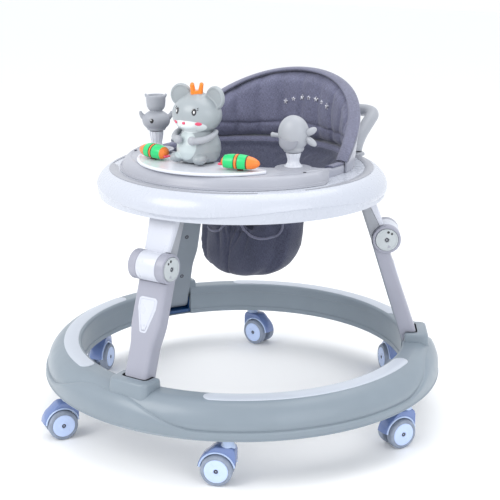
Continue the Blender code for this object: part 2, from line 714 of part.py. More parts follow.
# ---------------------------------------------------------------- toys
def toy_post(place, top, name):
    """Flared white post with a pin on which a toy spins."""
    low = PANEL_TOP + GAP
    body = stack_at([(0.0125, low), (0.0100, low + 0.005), (0.0090, low + 0.013), (0.0115, top),
                     (TOY_PIN_RADIUS, top + 0.0001), (TOY_PIN_RADIUS, top + 0.0130)], place)
    return finish(body, name, (WHITE, 0.3))


def spinner_underside(place, low):
    """What is cut from a spinning toy: its flat underside and the bore for the post's pin."""
    bore = TOY_PIN_RADIUS + 0.0004
    return (stack_at([(bore, low - 0.028), (bore, low + 0.0135)], place),
            stack_at([(0.05, low - 0.028), (0.05, low - 0.0002)], place))


def spinner_left():
    """A round animal head with a small cup-shaped one on top of it."""
    x, y = POST_LEFT
    body = ball((0.0240, 0.0210, 0.0180), (x, y, 0.5020))
    union(body, stack_at([(0.0100, 0.515), (0.0110, 0.521), (0.0150, 0.528), (0.0162, 0.538),
                          (0.0155, 0.547)], (x, y)))
    for side in (-1, 1):
        ear = stack([(0.0080, 0.0), (0.0060, 0.008), (0.0015, 0.015)], 10)
        moved(ear, Matrix.Rotation(math.radians(side * 55.0), 4, "Y"))
        union(body, moved(ear, Matrix.Translation((x + side * 0.0150, y, 0.5055))))
    cut(body, *spinner_underside(POST_LEFT, LEFT_TOY_LOW))
    return finish(body, "spinner_left", (SOFT_GREY, 0.4), None, (x, y, LEFT_TOY_LOW))


def spinner_right():
    """A round fish with a snout on one side and a tail of two lobes on the other."""
    x, y = POST_RIGHT
    body = ball((0.0290, 0.0240, 0.0300), (x, y, 0.5085))
    snout = stack([(0.0040, 0.0), (0.0036, 0.014), (0.0042, 0.016), (0.0042, 0.020)], 10)
    moved(snout, Matrix.Rotation(math.radians(-90.0), 4, "Y"))
    union(body, moved(snout, Matrix.Translation((x - 0.0250, y, 0.5030))))
    for lift in (-1, 1):
        lobe = ball((0.0110, 0.0050, 0.0058), (0.0, 0.0, 0.0), 8, 5)
        moved(lobe, Matrix.Rotation(math.radians(-30.0 * lift), 4, "Y"))
        union(body, moved(lobe, Matrix.Translation((x + 0.0330, y, 0.5060 + 0.0075 * lift))))
    cut(body, *spinner_underside(POST_RIGHT, RIGHT_TOY_LOW))
    return finish(body, "spinner_right", (PALE_GREY, 0.4), None, (x, y, RIGHT_TOY_LOW))


def mouse():
    """A sitting toy mouse: pear-shaped body, big head, round ears and two paws."""
    x, y = MOUSE_PLACE
    low = PLATE_TOP + GAP
    body = stack_at([(0.0260, low), (0.0340, low + 0.008), (0.0370, low + 0.022),
                     (0.0340, low + 0.038), (0.0280, low + 0.048), (0.0200, low + 0.056)],
                    (x, y), 14)
    union(body, ball((0.0430, 0.0350, 0.0320), (x, y - 0.004, low + 0.077), 14, 7))
    union(body, ball((0.0100, 0.0120, 0.0080), (x, y - 0.034, low + 0.066), 10, 4))
    for side in (-1, 1):
        ear = stack([(0.0160, -0.005), (0.0190, -0.002), (0.0190, 0.002), (0.0160, 0.005)], 14)
        moved(ear, Matrix.Rotation(math.radians(90.0), 4, "X"))
        union(body, moved(ear, Matrix.Translation((x + side * 0.0330, y, low + 0.1040))))
        arm = ball((0.0070, 0.0190, 0.0065), (0.0, 0.0, 0.0), 8, 5)
        moved(arm, Matrix.Rotation(math.radians(side * 38.0), 4, "Z"))
        union(body, moved(arm, Matrix.Translation((x + side * 0.0240, y - 0.0260, low + 0.0400))))
    cut(body, stack_at([(0.0115, low + 0.1045), (0.0115, low + 0.15)], (x, y - 0.004)))
    return finish(body, "mouse", (PALE_GREY, 0.4))


def crown():
    """Small orange crown set in the top of the mouse's head."""
    x, y = MOUSE_PLACE[0], MOUSE_PLACE[1] - 0.004
    low = PLATE_TOP + GAP + 0.1045 + GAP
    body = stack_at([(0.0095, low), (0.0105, low + 0.0100)], (x, y))
    for offset, lean in ((-0.0072, -16.0), (0.0, 0.0), (0.0072, 16.0)):
        prong = stack([(0.0040, -0.002), (0.0036, 0.006), (0.0010, 0.0130)], 8)
        moved(prong, Matrix.Rotation(math.radians(lean), 4, "Y"))
        union(body, moved(prong, Matrix.Translation((x + offset, y, low + 0.0090))))
    return finish(body, "crown", (ORANGE, 0.35))


def carrot(side, name):
    """Squeaker button shaped as a carrot lying on the plate."""
    x, y = side * CARROT_PLACE[0], CARROT_PLACE[1]
    profile = [(0.0030, -0.0330), (0.0075, -0.0285), (0.0120, -0.0175), (0.0138, 0.0),
               (0.0120, 0.0175), (0.0075, 0.0285), (0.0030, 0.0330)]
    body = stack(profile, 12)
    moved(body, Matrix.Rotation(math.radians(90.0), 4, "Y"))
    moved(body, Matrix.Rotation(math.radians(side * 12.0), 4, "Z"))
    low = PLATE_TOP + CARROT_TRAVEL + 2 * GAP
    moved(body, Matrix.Translation((x, y, low + 0.0075)))
    trim = stack_at([(0.06, 0.42), (0.06, low)], (x, y))
    cut(body, trim)
    stem = stack_at([(0.0052, PANEL_TOP + CARROT_TRAVEL + 2 * GAP), (0.0052, low + 0.004)], (x, y), 12)
    union(body, stem)
    return finish(body, name, (ORANGE, 0.4), None, (x, y, low))


# ---------------------------------------------------------------- the whole walker
def build():
    clear_scene()
    base_ring()
    base_inlays()
    base_under_cover()
    for number, angle in enumerate(LEG_ANGLES, 1):
        build_leg(number, angle)
    for number, (angle, heading) in enumerate(zip(CASTER_ANGLES, CASTER_HEADINGS), 1):
        build_caster(number, angle, heading)
    tray_shell()
    seat_ring()
    toy_panel()
    toy_plate()
    backrest_shell()
    back_cushion()
    seat_pouch()
    push_handle()
    toy_post(POST_LEFT, LEFT_TOY_LOW - 0.0010, "toy_post_left")
    toy_post(POST_RIGHT, RIGHT_TOY_LOW - 0.0010, "toy_post_right")
    spinner_left()
    spinner_right()
    mouse()
    crown()
    carrot(-1, "carrot_left")
    carrot(1, "carrot_right")


build()
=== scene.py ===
"""Looks of a round baby walker: floor ring on casters, folding legs, toy tray and padded seat."""

import json
import math

import bmesh
import bpy
from mathutils import Matrix, Vector, noise
from mathutils.bvhtree import BVHTree


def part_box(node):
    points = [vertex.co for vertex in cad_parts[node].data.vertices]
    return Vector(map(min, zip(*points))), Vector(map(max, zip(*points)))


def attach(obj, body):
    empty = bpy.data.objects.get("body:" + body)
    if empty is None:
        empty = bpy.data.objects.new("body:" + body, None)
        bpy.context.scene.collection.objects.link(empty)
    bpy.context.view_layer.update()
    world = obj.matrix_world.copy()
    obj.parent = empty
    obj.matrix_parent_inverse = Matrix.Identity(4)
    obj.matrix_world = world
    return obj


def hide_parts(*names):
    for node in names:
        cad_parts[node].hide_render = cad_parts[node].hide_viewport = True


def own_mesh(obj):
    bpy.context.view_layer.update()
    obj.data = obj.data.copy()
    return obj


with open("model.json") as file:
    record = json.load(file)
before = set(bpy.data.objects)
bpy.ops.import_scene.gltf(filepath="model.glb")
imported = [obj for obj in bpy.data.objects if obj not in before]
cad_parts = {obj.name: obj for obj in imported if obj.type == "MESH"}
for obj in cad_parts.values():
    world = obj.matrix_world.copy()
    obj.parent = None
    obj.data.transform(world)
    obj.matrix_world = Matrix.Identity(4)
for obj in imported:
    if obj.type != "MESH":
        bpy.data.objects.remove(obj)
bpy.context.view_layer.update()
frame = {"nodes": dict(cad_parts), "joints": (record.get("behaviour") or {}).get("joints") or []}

# ---------------------------------------------------------------- places taken from the frame
JOINTS = {joint["name"]: joint for joint in frame["joints"]}


def joint_place(name):
    return Vector(JOINTS[name]["pos_m"])


def leg_plane(place):
    """Radius from the centre and height of a point on the front leg, which stands at -Y."""
    return Vector((-place.y, place.z))


BASE_PIN = leg_plane(joint_place("leg_fold_1"))
KNEE = leg_plane(joint_place("knee_fold_1"))
TRAY_PIN = leg_plane(joint_place("tray_level"))
ALONG = (TRAY_PIN - BASE_PIN).normalized()
OUTWARD = Vector((ALONG.y, -ALONG.x))
KNEE_OFFSET = (KNEE - BASE_PIN).dot(OUTWARD)
LOWER_LENGTH = (KNEE - BASE_PIN).dot(ALONG)
UPPER_LENGTH = (TRAY_PIN - BASE_PIN).length - LOWER_LENGTH
KNEE_FOOT = BASE_PIN + ALONG * LOWER_LENGTH
LEG_LEAN = math.atan2(-ALONG.x, ALONG.y)

RING_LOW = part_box("base_ring")[0].z
RING_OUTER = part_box("base_ring")[1].x
RING_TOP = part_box("base_inlay_1")[1].z - 0.0008
COLLAR_TOP = 0.1450
TRAY_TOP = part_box("seat_ring")[0].z - 0.0003
PANEL_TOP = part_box("toy_panel")[1].z
PLATE_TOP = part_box("toy_plate")[1].z
RIM_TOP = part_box("seat_ring")[1].z
POST_LEFT = joint_place("spinner_turn_left")
POST_RIGHT = joint_place("spinner_turn_right")
MOUSE_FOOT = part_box("mouse")[0].z
MOUSE = Vector((-0.009, -0.112))
MOUSE_PLACE = Vector((MOUSE.x, MOUSE.y, MOUSE_FOOT))
SEAT_CENTRE = Vector((0.0, 0.020))
SEAT_RADIUS = 0.178
BACK_CENTRE_Y = 0.020
BACK_FOOT = 0.445
BACK_HEIGHT = 0.131
BACK_FLARE = 0.115                   # outward lean of the backrest
SHELL_INNER = 0.1785
SHELL_OUTER = 0.1815
CUSHION_INNER = 0.1600
CUSHION_OUTER = 0.1776


def leg_space(number):
    """From leg space (x outward, y along the knee pin, z up the leg from the knee) to the frame."""
    place = joint_place(f"leg_fold_{number}")
    upright = Matrix(((OUTWARD.x, 0.0, ALONG.x, KNEE_FOOT.x), (0.0, 1.0, 0.0, 0.0),
                      (OUTWARD.y, 0.0, ALONG.y, KNEE_FOOT.y), (0.0, 0.0, 0.0, 1.0)))
    return Matrix.Rotation(math.atan2(place.y, place.x), 4, "Z") @ upright


# ---------------------------------------------------------------- outlines
def arc(centre, radius, start, end, steps):
    """Points on an arc, from start to end in degrees."""
    angles = [math.radians(start + (end - start) * i / steps) for i in range(steps + 1)]
    return [(centre[0] + radius * math.cos(a), centre[1] + radius * math.sin(a)) for a in angles]


def rounded(points, radii, steps=5):
    """The polygon with each corner replaced by an arc of its radius."""
    if not hasattr(radii, "__len__"):
        radii = [radii] * len(points)
    outline = []
    for i, radius in enumerate(radii):
        corner = Vector(points[i])
        before = (Vector(points[i - 1]) - corner).normalized()
        after = (Vector(points[(i + 1) % len(points)]) - corner).normalized()
        half = before.angle(after) / 2
        if radius <= 0.0 or half > math.radians(89.0):
            outline.append(tuple(corner))
            continue
        reach = radius / math.tan(half)
        centre = corner + (before + after).normalized() * (radius / math.sin(half))
        start = corner + before * reach - centre
        turn = (corner + after * reach - centre).angle_signed(start)
        for k in range(steps + 1):
            spoke = start.copy()
            spoke.rotate(Matrix.Rotation(turn * k / steps, 2))
            outline.append(tuple(centre + spoke))
    return outline


def shrunk(outline, inset):
    """The outline moved inwards by inset along its corners' normals."""
    area = sum(a[0] * b[1] - b[0] * a[1] for a, b in zip(outline, outline[1:] + outline[:1]))
    side = 1.0 if area > 0 else -1.0
    moved = []
    for i, point in enumerate(outline):
        before = Vector(point) - Vector(outline[i - 1])
        after = Vector(outline[(i + 1) % len(outline)]) - Vector(point)
        before.normalize()
        after.normalize()
        tangent = (before + after).normalized()
        normal = Vector((-tangent.y, tangent.x)) * side
        moved.append(tuple(Vector(point) + normal * inset / max(tangent.dot(after), 0.35)))
    return moved


def box_outline(x_low, x_high, half, soft_low, soft_high):
    """Rectangle from x_low to x_high with its own corner radius at either end."""
    return rounded([(x_low, -half), (x_high, -half), (x_high, half), (x_low, half)],
                   [soft_low, soft_high, soft_high, soft_low])


def at_height(outline, z):
    return [(x, y, z) for x, y in outline]


def on_spoke(section, angle):
    """The section's (radius, height) points on the upright plane at an angle round the centre."""
    return [(r * math.cos(angle), r * math.sin(angle), z) for r, z in section]


def smooth(low, high, value):
    share = min(max((value - low) / (high - low), 0.0), 1.0)
    return share * share * (3 - 2 * share)


# ---------------------------------------------------------------- solids
class Solid:
    """Points and faces collected for one piece, each face with the number of its material."""

    def __init__(self):
        self.points = []
        self.faces = []
        self.tones = []

    def add(self, points, faces, tone=0):
        first = len(self.points)
        self.points += [Vector(point) for point in points]
        self.faces += [tuple(first + i for i in face) for face in faces]
        self.tones += [tone] * len(faces)
        return self

    def join(self, other):
        first = len(self.points)
        self.points += other.points
        self.faces += [tuple(first + i for i in face) for face in other.faces]
        self.tones += other.tones
        return self

    def moved(self, matrix):
        self.points = [matrix @ point for point in self.points]
        return self

    def shifted(self, x, y, z):
        return self.moved(Matrix.Translation((x, y, z)))

    def turned(self, degrees, axis):
        return self.moved(Matrix.Rotation(math.radians(degrees), 4, axis))


def loft(loops, closed=False, tone=0, tones=None):
    """Skin through loops of equally many points, capped at both ends unless closed."""
    made = Solid()
    count = len(loops[0])
    points = [point for loop in loops for point in loop]
    made.add(points, [])
    rows = len(loops)
    for row in range(rows if closed else rows - 1):
        low = row * count
        high = (row + 1) % rows * count
        for i in range(count):
            j = (i + 1) % count
            made.faces.append((low + i, low + j, high + j, high + i))
            made.tones.append(tones[row] if tones else tone)
    if not closed:
        made.faces.append(tuple(reversed(range(count))))
        made.faces.append(tuple((rows - 1) * count + i for i in range(count)))
        made.tones += [tones[0] if tones else tone, tones[-1] if tones else tone]
    return made


def lathe(profile, steps=48, tone=0, tones=None, closed=False):
    """Round solid about Z from (radius, height) points."""
    loops = [[(radius * math.cos(2 * math.pi * i / steps), radius * math.sin(2 * math.pi * i / steps), z)
              for i in range(steps)] for radius, z in profile]
    return loft(loops, closed, tone, tones)


def relief(outline, levels, tone=0, tones=None):
    """Flat solid built up from the outline through (inset, height) levels."""
    return loft([at_height(shrunk(outline, inset) if inset else outline, z) for inset, z in levels],
                False, tone, tones)


def plate(outline, low, high, soft, tone=0):
    """Flat solid with rounded upper and lower edges."""
    levels = [(soft * (1 - math.sin(a)), low + soft * (1 - math.cos(a)))
              for a in (0.0, math.pi / 4, math.pi / 2)]
    levels += [(soft * (1 - math.cos(a)), high - soft * (1 - math.sin(a)))
               for a in (0.0, math.pi / 6, math.pi / 3, math.pi / 2)]
    return relief(outline, levels, tone)


def ball(radii, centre, steps=32, rings=16, tone=0):
    profile = [(math.sin(math.pi * i / rings), -math.cos(math.pi * i / rings)) for i in range(1, rings)]
    made = lathe(profile, steps, tone)
    return made.moved(Matrix.Translation(centre) @ Matrix.Diagonal((*radii, 1.0)))


def tube(path, radius, steps=16, closed=False, tone=0, flat=1.0, up=Vector((0, 0, 1))):
    """Round or flattened tube along a path; radius may be a function of the share of the path."""
    loops = []
    count = len(path)
    for i, place in enumerate(path):
        before = path[(i - 1) % count] if closed or i else path[0]
        after = path[(i + 1) % count] if closed or i < count - 1 else path[-1]
        ahead = (Vector(after) - Vector(before)).normalized()
        side = ahead.cross(up).normalized()
        over = side.cross(ahead)
        size = radius(i / (count - 1)) if callable(radius) else radius
        loops.append([Vector(place) + side * size * math.cos(2 * math.pi * k / steps)
                      + over * size * flat * math.sin(2 * math.pi * k / steps) for k in range(steps)])
    return loft(loops, closed, tone)


def screw(radius=0.0036, tone=1):
    """Pan-head screw about Z with its face at the top, and a sunk middle."""
    return lathe([(radius * 0.9, -0.0008), (radius, 0.0), (radius * 0.9, 0.0006), (radius * 0.55, 0.0009),
                  (radius * 0.42, 0.0007), (radius * 0.30, -0.0004), (radius * 0.08, -0.0005)], 20, tone)


def curve_through(points, per_span=8, closed=False):
    """Smooth path through the points."""
    places = [Vector(point) for point in points]
    count = len(places)
    path = []
    for i in range(count if closed else count - 1):
        if closed:
            a, b, c, d = (places[(i + k) % count] for k in (-1, 0, 1, 2))
        else:
            a, b, c, d = (places[min(max(i + k, 0), count - 1)] for k in (-1, 0, 1, 2))
        for k in range(per_span):
            t = k / per_span
            path.append(0.5 * (2 * b + (c - a) * t + (2 * a - 5 * b + 4 * c - d) * t ** 2
                               + (3 * b - a - 3 * c + d) * t ** 3))
    if not closed:
        path.append(places[-1])
    return path


# ---------------------------------------------------------------- pieces
def new_object(name, solid, looks):
    data = bpy.data.meshes.new(name)
    data.from_pydata(solid.points, [], solid.faces)
    for look in looks:
        data.materials.append(look)
    data.polygons.foreach_set("material_index", solid.tones)
    work = bmesh.new()
    work.from_mesh(data)
    bmesh.ops.remove_doubles(work, verts=work.verts, dist=2e-6)
    bmesh.ops.dissolve_degenerate(work, edges=work.edges, dist=2e-6)
    bmesh.ops.recalc_face_normals(work, faces=work.faces)
    work.to_mesh(data)
    work.free()
    thing = bpy.data.objects.new(name, data)
    bpy.context.collection.objects.link(thing)
    return thing


def shade(thing, crease=38.0):
    thing.data.shade_smooth()
    thing.data.set_sharp_from_angle(angle=math.radians(crease))


def applied(thing):
    """Keep what the modifiers made and drop them."""
    graph = bpy.context.evaluated_depsgraph_get()
    result = bpy.data.meshes.new_from_object(thing.evaluated_get(graph))
    thing.modifiers.clear()
    thing.data = result
    return thing


def carve(thing, *solids):
    """Cut the solids out of the object."""
    for solid in solids:
        tool = new_object("tool", solid, [])
        step = thing.modifiers.new("cut", "BOOLEAN")
        step.operation = "DIFFERENCE"
        step.object = tool
        applied(thing)
        bpy.data.objects.remove(tool, do_unlink=True)
    return thing


def remeshed(thing, voxel):
    melt = thing.modifiers.new("melt", "REMESH")
    melt.mode = "VOXEL"
    melt.voxel_size = voxel
    return applied(thing)


def smoothed(thing, rounds, levels=1):
    even = thing.modifiers.new("even", "SMOOTH")
    even.factor = 0.5
    even.iterations = rounds
    if levels:
        fine = thing.modifiers.new("fine", "SUBSURF")
        fine.levels = levels
        fine.render_levels = levels
    return applied(thing)


def fuse(thing, voxel, rounds=6, keep=1.0):
    """Melt overlapping solids into one skin with soft joints."""
    remeshed(thing, voxel)
    smoothed(thing, rounds, 0)
    if keep < 1.0:
        thin = thing.modifiers.new("thin", "DECIMATE")
        thin.ratio = keep
        applied(thing)
    return thing


def mount(thing, body, nodes=()):
    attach(thing, body)
    if nodes:
        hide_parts(*nodes)
    return thing


def placed(thing, space, crease, body, nodes=()):
    """Carry a piece made in its own space to the frame, then shade and mount it."""
    thing.data.transform(space)
    shade(thing, crease)
    return mount(thing, body, nodes)


def piece(name, solid, looks, body, nodes=(), crease=38.0):
    thing = new_object(name, solid, looks)
    shade(thing, crease)
    return mount(thing, body, nodes)


# ---------------------------------------------------------------- materials
def start_look(name, colour, roughness):
    look = bpy.data.materials.new(name)
    look.use_nodes = True
    nodes = look.node_tree.nodes
    shader = nodes["Principled BSDF"]
    shader.inputs["Base Color"].default_value = (*colour, 1.0)
    shader.inputs["Roughness"].default_value = roughness
    return look, nodes, look.node_tree.links, shader


def noise_at(nodes, links, place, scale, detail=2.0):
    made = nodes.new("ShaderNodeTexNoise")
    made.inputs["Scale"].default_value = scale
    made.inputs["Detail"].default_value = detail
    links.new(place, made.inputs["Vector"])
    return made.outputs["Fac"]


def spread(nodes, links, value, low, high, start=0.3, end=0.7):
    """Map a texture's value to a range."""
    made = nodes.new("ShaderNodeMapRange")
    made.inputs["From Min"].default_value = start
    made.inputs["From Max"].default_value = end
    made.inputs["To Min"].default_value = low
    made.inputs["To Max"].default_value = high
    links.new(value, made.inputs["Value"])
    return made.outputs["Result"]


def mixed(nodes, links, share, low, high):
    """Mix two colours, each a constant or a socket."""
    made = nodes.new("ShaderNodeMix")
    made.data_type = "RGBA"
    for socket, colour in ((made.inputs[6], low), (made.inputs[7], high)):
        if isinstance(colour, tuple):
            socket.default_value = (*colour, 1.0)
        else:
            links.new(colour, socket)
    links.new(share, made.inputs[0])
    return made.outputs[2]


def scaled(colour, factor):
    return tuple(min(channel * factor, 1.0) for channel in colour)


def bumped(nodes, links, height, shader, depth, strength):
    made = nodes.new("ShaderNodeBump")
    made.inputs["Strength"].default_value = strength
    made.inputs["Distance"].default_value = depth
    links.new(height, made.inputs["Height"])
    links.new(made.outputs["Normal"], shader.inputs["Normal"])


def plastic(name, colour, roughness=0.35, texture=0.10, coat=0.0, variety=0.035):
    """Moulded plastic: fine grain, faint flow marks and an uneven gloss."""
    look, nodes, links, shader = start_look(name, colour, roughness)
    place = nodes.new("ShaderNodeTexCoord").outputs["Object"]
    flow = noise_at(nodes, links, place, 14.0, 3.0)
    grain = noise_at(nodes, links, place, 1400.0, 2.0)
    smudge = noise_at(nodes, links, place, 60.0, 4.0)
    links.new(mixed(nodes, links, spread(nodes, links, flow, 0.0, 1.0), scaled(colour, 1.0 - variety),
                    scaled(colour, 1.0 + variety)), shader.inputs["Base Color"])
    links.new(spread(nodes, links, smudge, roughness - 0.02, roughness + 0.04), shader.inputs["Roughness"])
    bumped(nodes, links, grain, shader, 0.0002, texture)
    shader.inputs["Coat Weight"].default_value = coat
    shader.inputs["Coat Roughness"].default_value = 0.12
    return look


def rubber(name, colour):
    """Matt tyre with a fine moulded tread grain."""
    look, nodes, links, shader = start_look(name, colour, 0.62)
    place = nodes.new("ShaderNodeTexCoord").outputs["Object"]
    dust = noise_at(nodes, links, place, 90.0, 5.0)
    grain = noise_at(nodes, links, place, 1800.0, 2.0)
    links.new(mixed(nodes, links, spread(nodes, links, dust, 0.0, 1.0), scaled(colour, 0.88),
                    scaled(colour, 1.15)), shader.inputs["Base Color"])
    bumped(nodes, links, grain, shader, 0.0003, 0.25)
    return look


def metal(name, colour):
    look, nodes, links, shader = start_look(name, colour, 0.35)
    shader.inputs["Metallic"].default_value = 0.9
    place = nodes.new("ShaderNodeTexCoord").outputs["Object"]
    brushed = noise_at(nodes, links, place, 500.0, 3.0)
    links.new(spread(nodes, links, brushed, 0.25, 0.5), shader.inputs["Roughness"])
    return look


def math_node(nodes, links, operation, *values):
    made = nodes.new("ShaderNodeMath")
    made.operation = operation
    for socket, value in zip(made.inputs, values):
        if isinstance(value, (int, float)):
            socket.default_value = value
        else:
            links.new(value, socket)
    return made.outputs[0]


THREAD = 0.0011                     # pitch of the weave


def fabric(name, dark, light):
    """Heathered woven cloth; its UVs are in metres along and across the cloth."""
    look, nodes, links, shader = start_look(name, dark, 0.88)
    source = nodes.new("ShaderNodeUVMap")
    source.uv_map = "weave"
    parts = nodes.new("ShaderNodeSeparateXYZ")
    links.new(source.outputs["UV"], parts.inputs[0])
    turn = 2 * math.pi / THREAD
    warp = math_node(nodes, links, "SINE", math_node(nodes, links, "MULTIPLY", parts.outputs[0], turn))
    weft = math_node(nodes, links, "SINE", math_node(nodes, links, "MULTIPLY", parts.outputs[1], turn))
    weave = math_node(nodes, links, "MULTIPLY", warp, weft)
    streaks = []
    for across, along, scale in ((1.0, 7.0, 260.0), (9.0, 1.0, 200.0)):
        stretch = nodes.new("ShaderNodeMapping")
        stretch.inputs["Scale"].default_value = (across, along, 1.0)
        links.new(source.outputs["UV"], stretch.inputs["Vector"])
        streaks.append(noise_at(nodes, links, stretch.outputs["Vector"], scale, 3.0))
    heather = math_node(nodes, links, "ADD", *streaks)
    cloud = noise_at(nodes, links, source.outputs["UV"], 22.0, 3.0)
    tone = math_node(nodes, links, "ADD", spread(nodes, links, heather, 0.0, 1.0, 0.8, 1.2),
                     spread(nodes, links, cloud, -0.15, 0.15))
    fleck = math_node(nodes, links, "ADD", tone, math_node(nodes, links, "MULTIPLY", weave, 0.12))
    links.new(mixed(nodes, links, fleck, dark, light), shader.inputs["Base Color"])
    height = math_node(nodes, links, "ADD", math_node(nodes, links, "MULTIPLY", weave, 0.5), heather)
    bumped(nodes, links, height, shader, 0.0004, 0.35)
    shader.inputs["Sheen Weight"].default_value = 0.25
    shader.inputs["Sheen Roughness"].default_value = 0.5
    return look


RING_GREY = plastic("ring_grey", (0.225, 0.270, 0.312), 0.36, 0.10, 0.15)
COVER_GREY = plastic("cover_grey", (0.16, 0.19, 0.22), 0.5, 0.25)
INLAY_WHITE = plastic("inlay_white", (0.53, 0.57, 0.64), 0.30, 0.05, 0.2, 0.01)
TRIM_WHITE = plastic("trim_white", (0.60, 0.62, 0.69), 0.28, 0.05, 0.2, 0.01)
TRAY_WHITE = plastic("tray_white", (0.52, 0.545, 0.61), 0.26, 0.06, 0.25, 0.012)
PLATE_WHITE = plastic("plate_white", (0.68, 0.70, 0.76), 0.30, 0.06, 0.2, 0.01)
LEG_GREY = plastic("leg_grey", (0.34, 0.345, 0.41), 0.38, 0.12, 0.1)
INNER_GREY = plastic("leg_inner_grey", (0.24, 0.275, 0.315), 0.42, 0.12)
BACK_GREY = plastic("leg_back_grey", (0.34, 0.355, 0.39), 0.42, 0.15)
CAP_GREY = plastic("cap_grey", (0.50, 0.535, 0.55), 0.35, 0.08, 0.2)
PANEL_GREY = plastic("panel_grey", (0.37, 0.38, 0.43), 0.36, 0.10, 0.15)
STRIP_GREY = plastic("strip_grey", (0.33, 0.34, 0.38), 0.34, 0.10, 0.1)
RIM_GREY = plastic("rim_grey", (0.36, 0.37, 0.43), 0.32, 0.08, 0.2)
HANDLE_GREY = plastic("handle_grey", (0.34, 0.355, 0.39), 0.36, 0.12, 0.1)
# Painted shade: the pivot cradles get a deep saturated blue that stands in for the shadowed slot floor under
# each leg, with its blue cast.
CRADLE_SHADE_BLUE = plastic("cradle_painted_shade_blue", (0.004, 0.050, 0.16), 0.28, 0.08, 0.2)
HOOD_BLUE = plastic("hood_lavender", (0.15, 0.22, 0.45), 0.22, 0.06, 0.4)
LIP_BLUE = plastic("lip_pale_blue", (0.50, 0.62, 0.86), 0.2, 0.05, 0.5)
HUB_BLUE = plastic("hub_pale_blue", (0.55, 0.67, 0.95), 0.28, 0.06, 0.3)
TYRE_GREY = rubber("tyre_grey", (0.26, 0.30, 0.38))
TOY_GREY = plastic("toy_grey", (0.34, 0.355, 0.395), 0.40, 0.10)
FIN_GREY = plastic("fin_grey", (0.25, 0.26, 0.30), 0.42, 0.10)
TOY_PALE = plastic("toy_pale_grey", (0.38, 0.395, 0.43), 0.38, 0.10)
SCREW_METAL = metal("screw_metal", (0.10, 0.10, 0.12))
MARK_BLACK = plastic("mark_black", (0.015, 0.015, 0.018), 0.3, 0.02, 0.3)
EYE_BLACK = plastic("eye_black", (0.01, 0.01, 0.015), 0.12, 0.0, 0.8)
# Printed white of the mouse's eye centres, and a painted highlight on the sea animal's eyes.
EYE_WHITE_AND_GLINT = plastic("eye_white_and_painted_glint", (0.80, 0.80, 0.80), 0.3, 0.0)
ORANGE = plastic("crown_orange", (0.85, 0.22, 0.01), 0.3, 0.06, 0.1)
CARROT_ORANGE = plastic("carrot_orange", (0.86, 0.22, 0.03), 0.36, 0.12, 0.1)
CARROT_GREEN = plastic("carrot_green", (0.01, 0.58, 0.17), 0.32, 0.10, 0.2)
CARROT_BAND = plastic("carrot_band", (0.10, 0.02, 0.01), 0.4, 0.05)
BLUSH = plastic("blush_pink", (0.72, 0.08, 0.16), 0.4, 0.03)
CUSHION_DENIM = fabric("cushion_denim", (0.085, 0.088, 0.138), (0.185, 0.190, 0.290))
DENIM = fabric("seat_denim", (0.030, 0.033, 0.058), (0.080, 0.086, 0.140))
BINDING = fabric("seat_binding", (0.105, 0.108, 0.160), (0.200, 0.205, 0.290))
THREADS = fabric("white_threads", (0.60, 0.60, 0.68), (0.80, 0.80, 0.88))


# ---------------------------------------------------------------- floor ring
CRADLE_HALF = 0.0245
SLOT_OUTER = BASE_PIN.x + 0.0160
SLOT_BEND = BASE_PIN.y + 0.0040
CREASE_LOW = 0.0895
CREASE_RISE = 0.0330
CREASE_LEAD = 7.0                   # degrees by which the crease's crest runs ahead of the leg
DOME_INNER = 0.3060
DOME_REACH = 0.0358
DOME_FOOT = 0.0925
COLLAR_FOOT = 0.1080
COLLAR_SLOT = 0.0226                 # half width of the slot above the cradle
COLLAR_INNER = 0.2835
BLOCK_HALF = 0.056                   # half width of the ring's stretch that is built square to a leg
INLAY_SWEEP = 37.3                   # degrees from an inlay's middle to its tips
INLAY_INNER = 0.2872
INLAY_OUTER = 0.3128


def dome_radius(z):
    """Outside of the ring above its crease: a squarish quarter round."""
    share = min(max((z - DOME_FOOT) / (RING_TOP - DOME_FOOT), 0.0), 1.0)
    return DOME_INNER + DOME_REACH * (1.0 - share ** 1.8) ** (1 / 1.8)


def crease_share(angle):
    """How far the crease line is lifted, from 0 between the legs to 1 beside them."""
    crests = [math.degrees(angle) + 90.0 + CREASE_LEAD - 120.0 * k for k in range(3)]
    spoke = min(abs((crest + 180.0) % 360.0 - 180.0) for crest in crests)
    return 1.0 - smooth(5.0, 29.0, spoke)


def ring_section(near):
    """The ring's outline as (radius, height); near is 1 where the crease is at its highest."""
    crease = CREASE_LOW + CREASE_RISE * near
    bottom = RING_LOW + 0.0028
    section = [(0.3435, bottom), (0.3440, RING_LOW + 0.0004), (0.3450, RING_LOW), (0.3459, RING_LOW + 0.0006),
               (0.3460, RING_LOW + 0.0018), (0.3450, RING_LOW + 0.0028)]
    for share in (0.0, 0.25, 0.5, 0.75, 1.0):
        z = RING_LOW + 0.0034 + (crease - 0.0020 - RING_LOW - 0.0034) * share
        section.append((min(dome_radius(z) + 0.0036, 0.3452), z))
    edge = dome_radius(crease)
    section += [(edge + 0.0030, crease - 0.0006), (edge + 0.0014, crease + 0.0006),
                (edge - 0.0008, crease + 0.0010), (edge - 0.0012, crease + 0.0018),
                (dome_radius(crease + 0.0040) - 0.0002, crease + 0.0040)]
    for i in range(1, 13):
        z = crease + 0.0040 + (RING_TOP - crease - 0.0040) * math.sin(math.pi / 2 * i / 12)
        section.append((dome_radius(z), z))
    section += [(0.2985, RING_TOP), (0.2900, RING_TOP)]
    section += arc((0.2875, RING_TOP - 0.0055), 0.0055, 90, 180, 5)
    section += [(0.2820, 0.1180), (0.2820, 0.1168), (0.2834, 0.1160), (0.2836, 0.1145), (0.2840, 0.0880),
                (0.2838, 0.0862), (0.2824, 0.0852), (0.2822, 0.0840), (0.2822, RING_LOW + 0.0010),
                (0.2830, RING_LOW + 0.0002), (0.2840, bottom)]
    return section


def slot_edge(z):
    return SLOT_OUTER - max(z - SLOT_BEND, 0.0) * math.tan(LEG_LEAN)


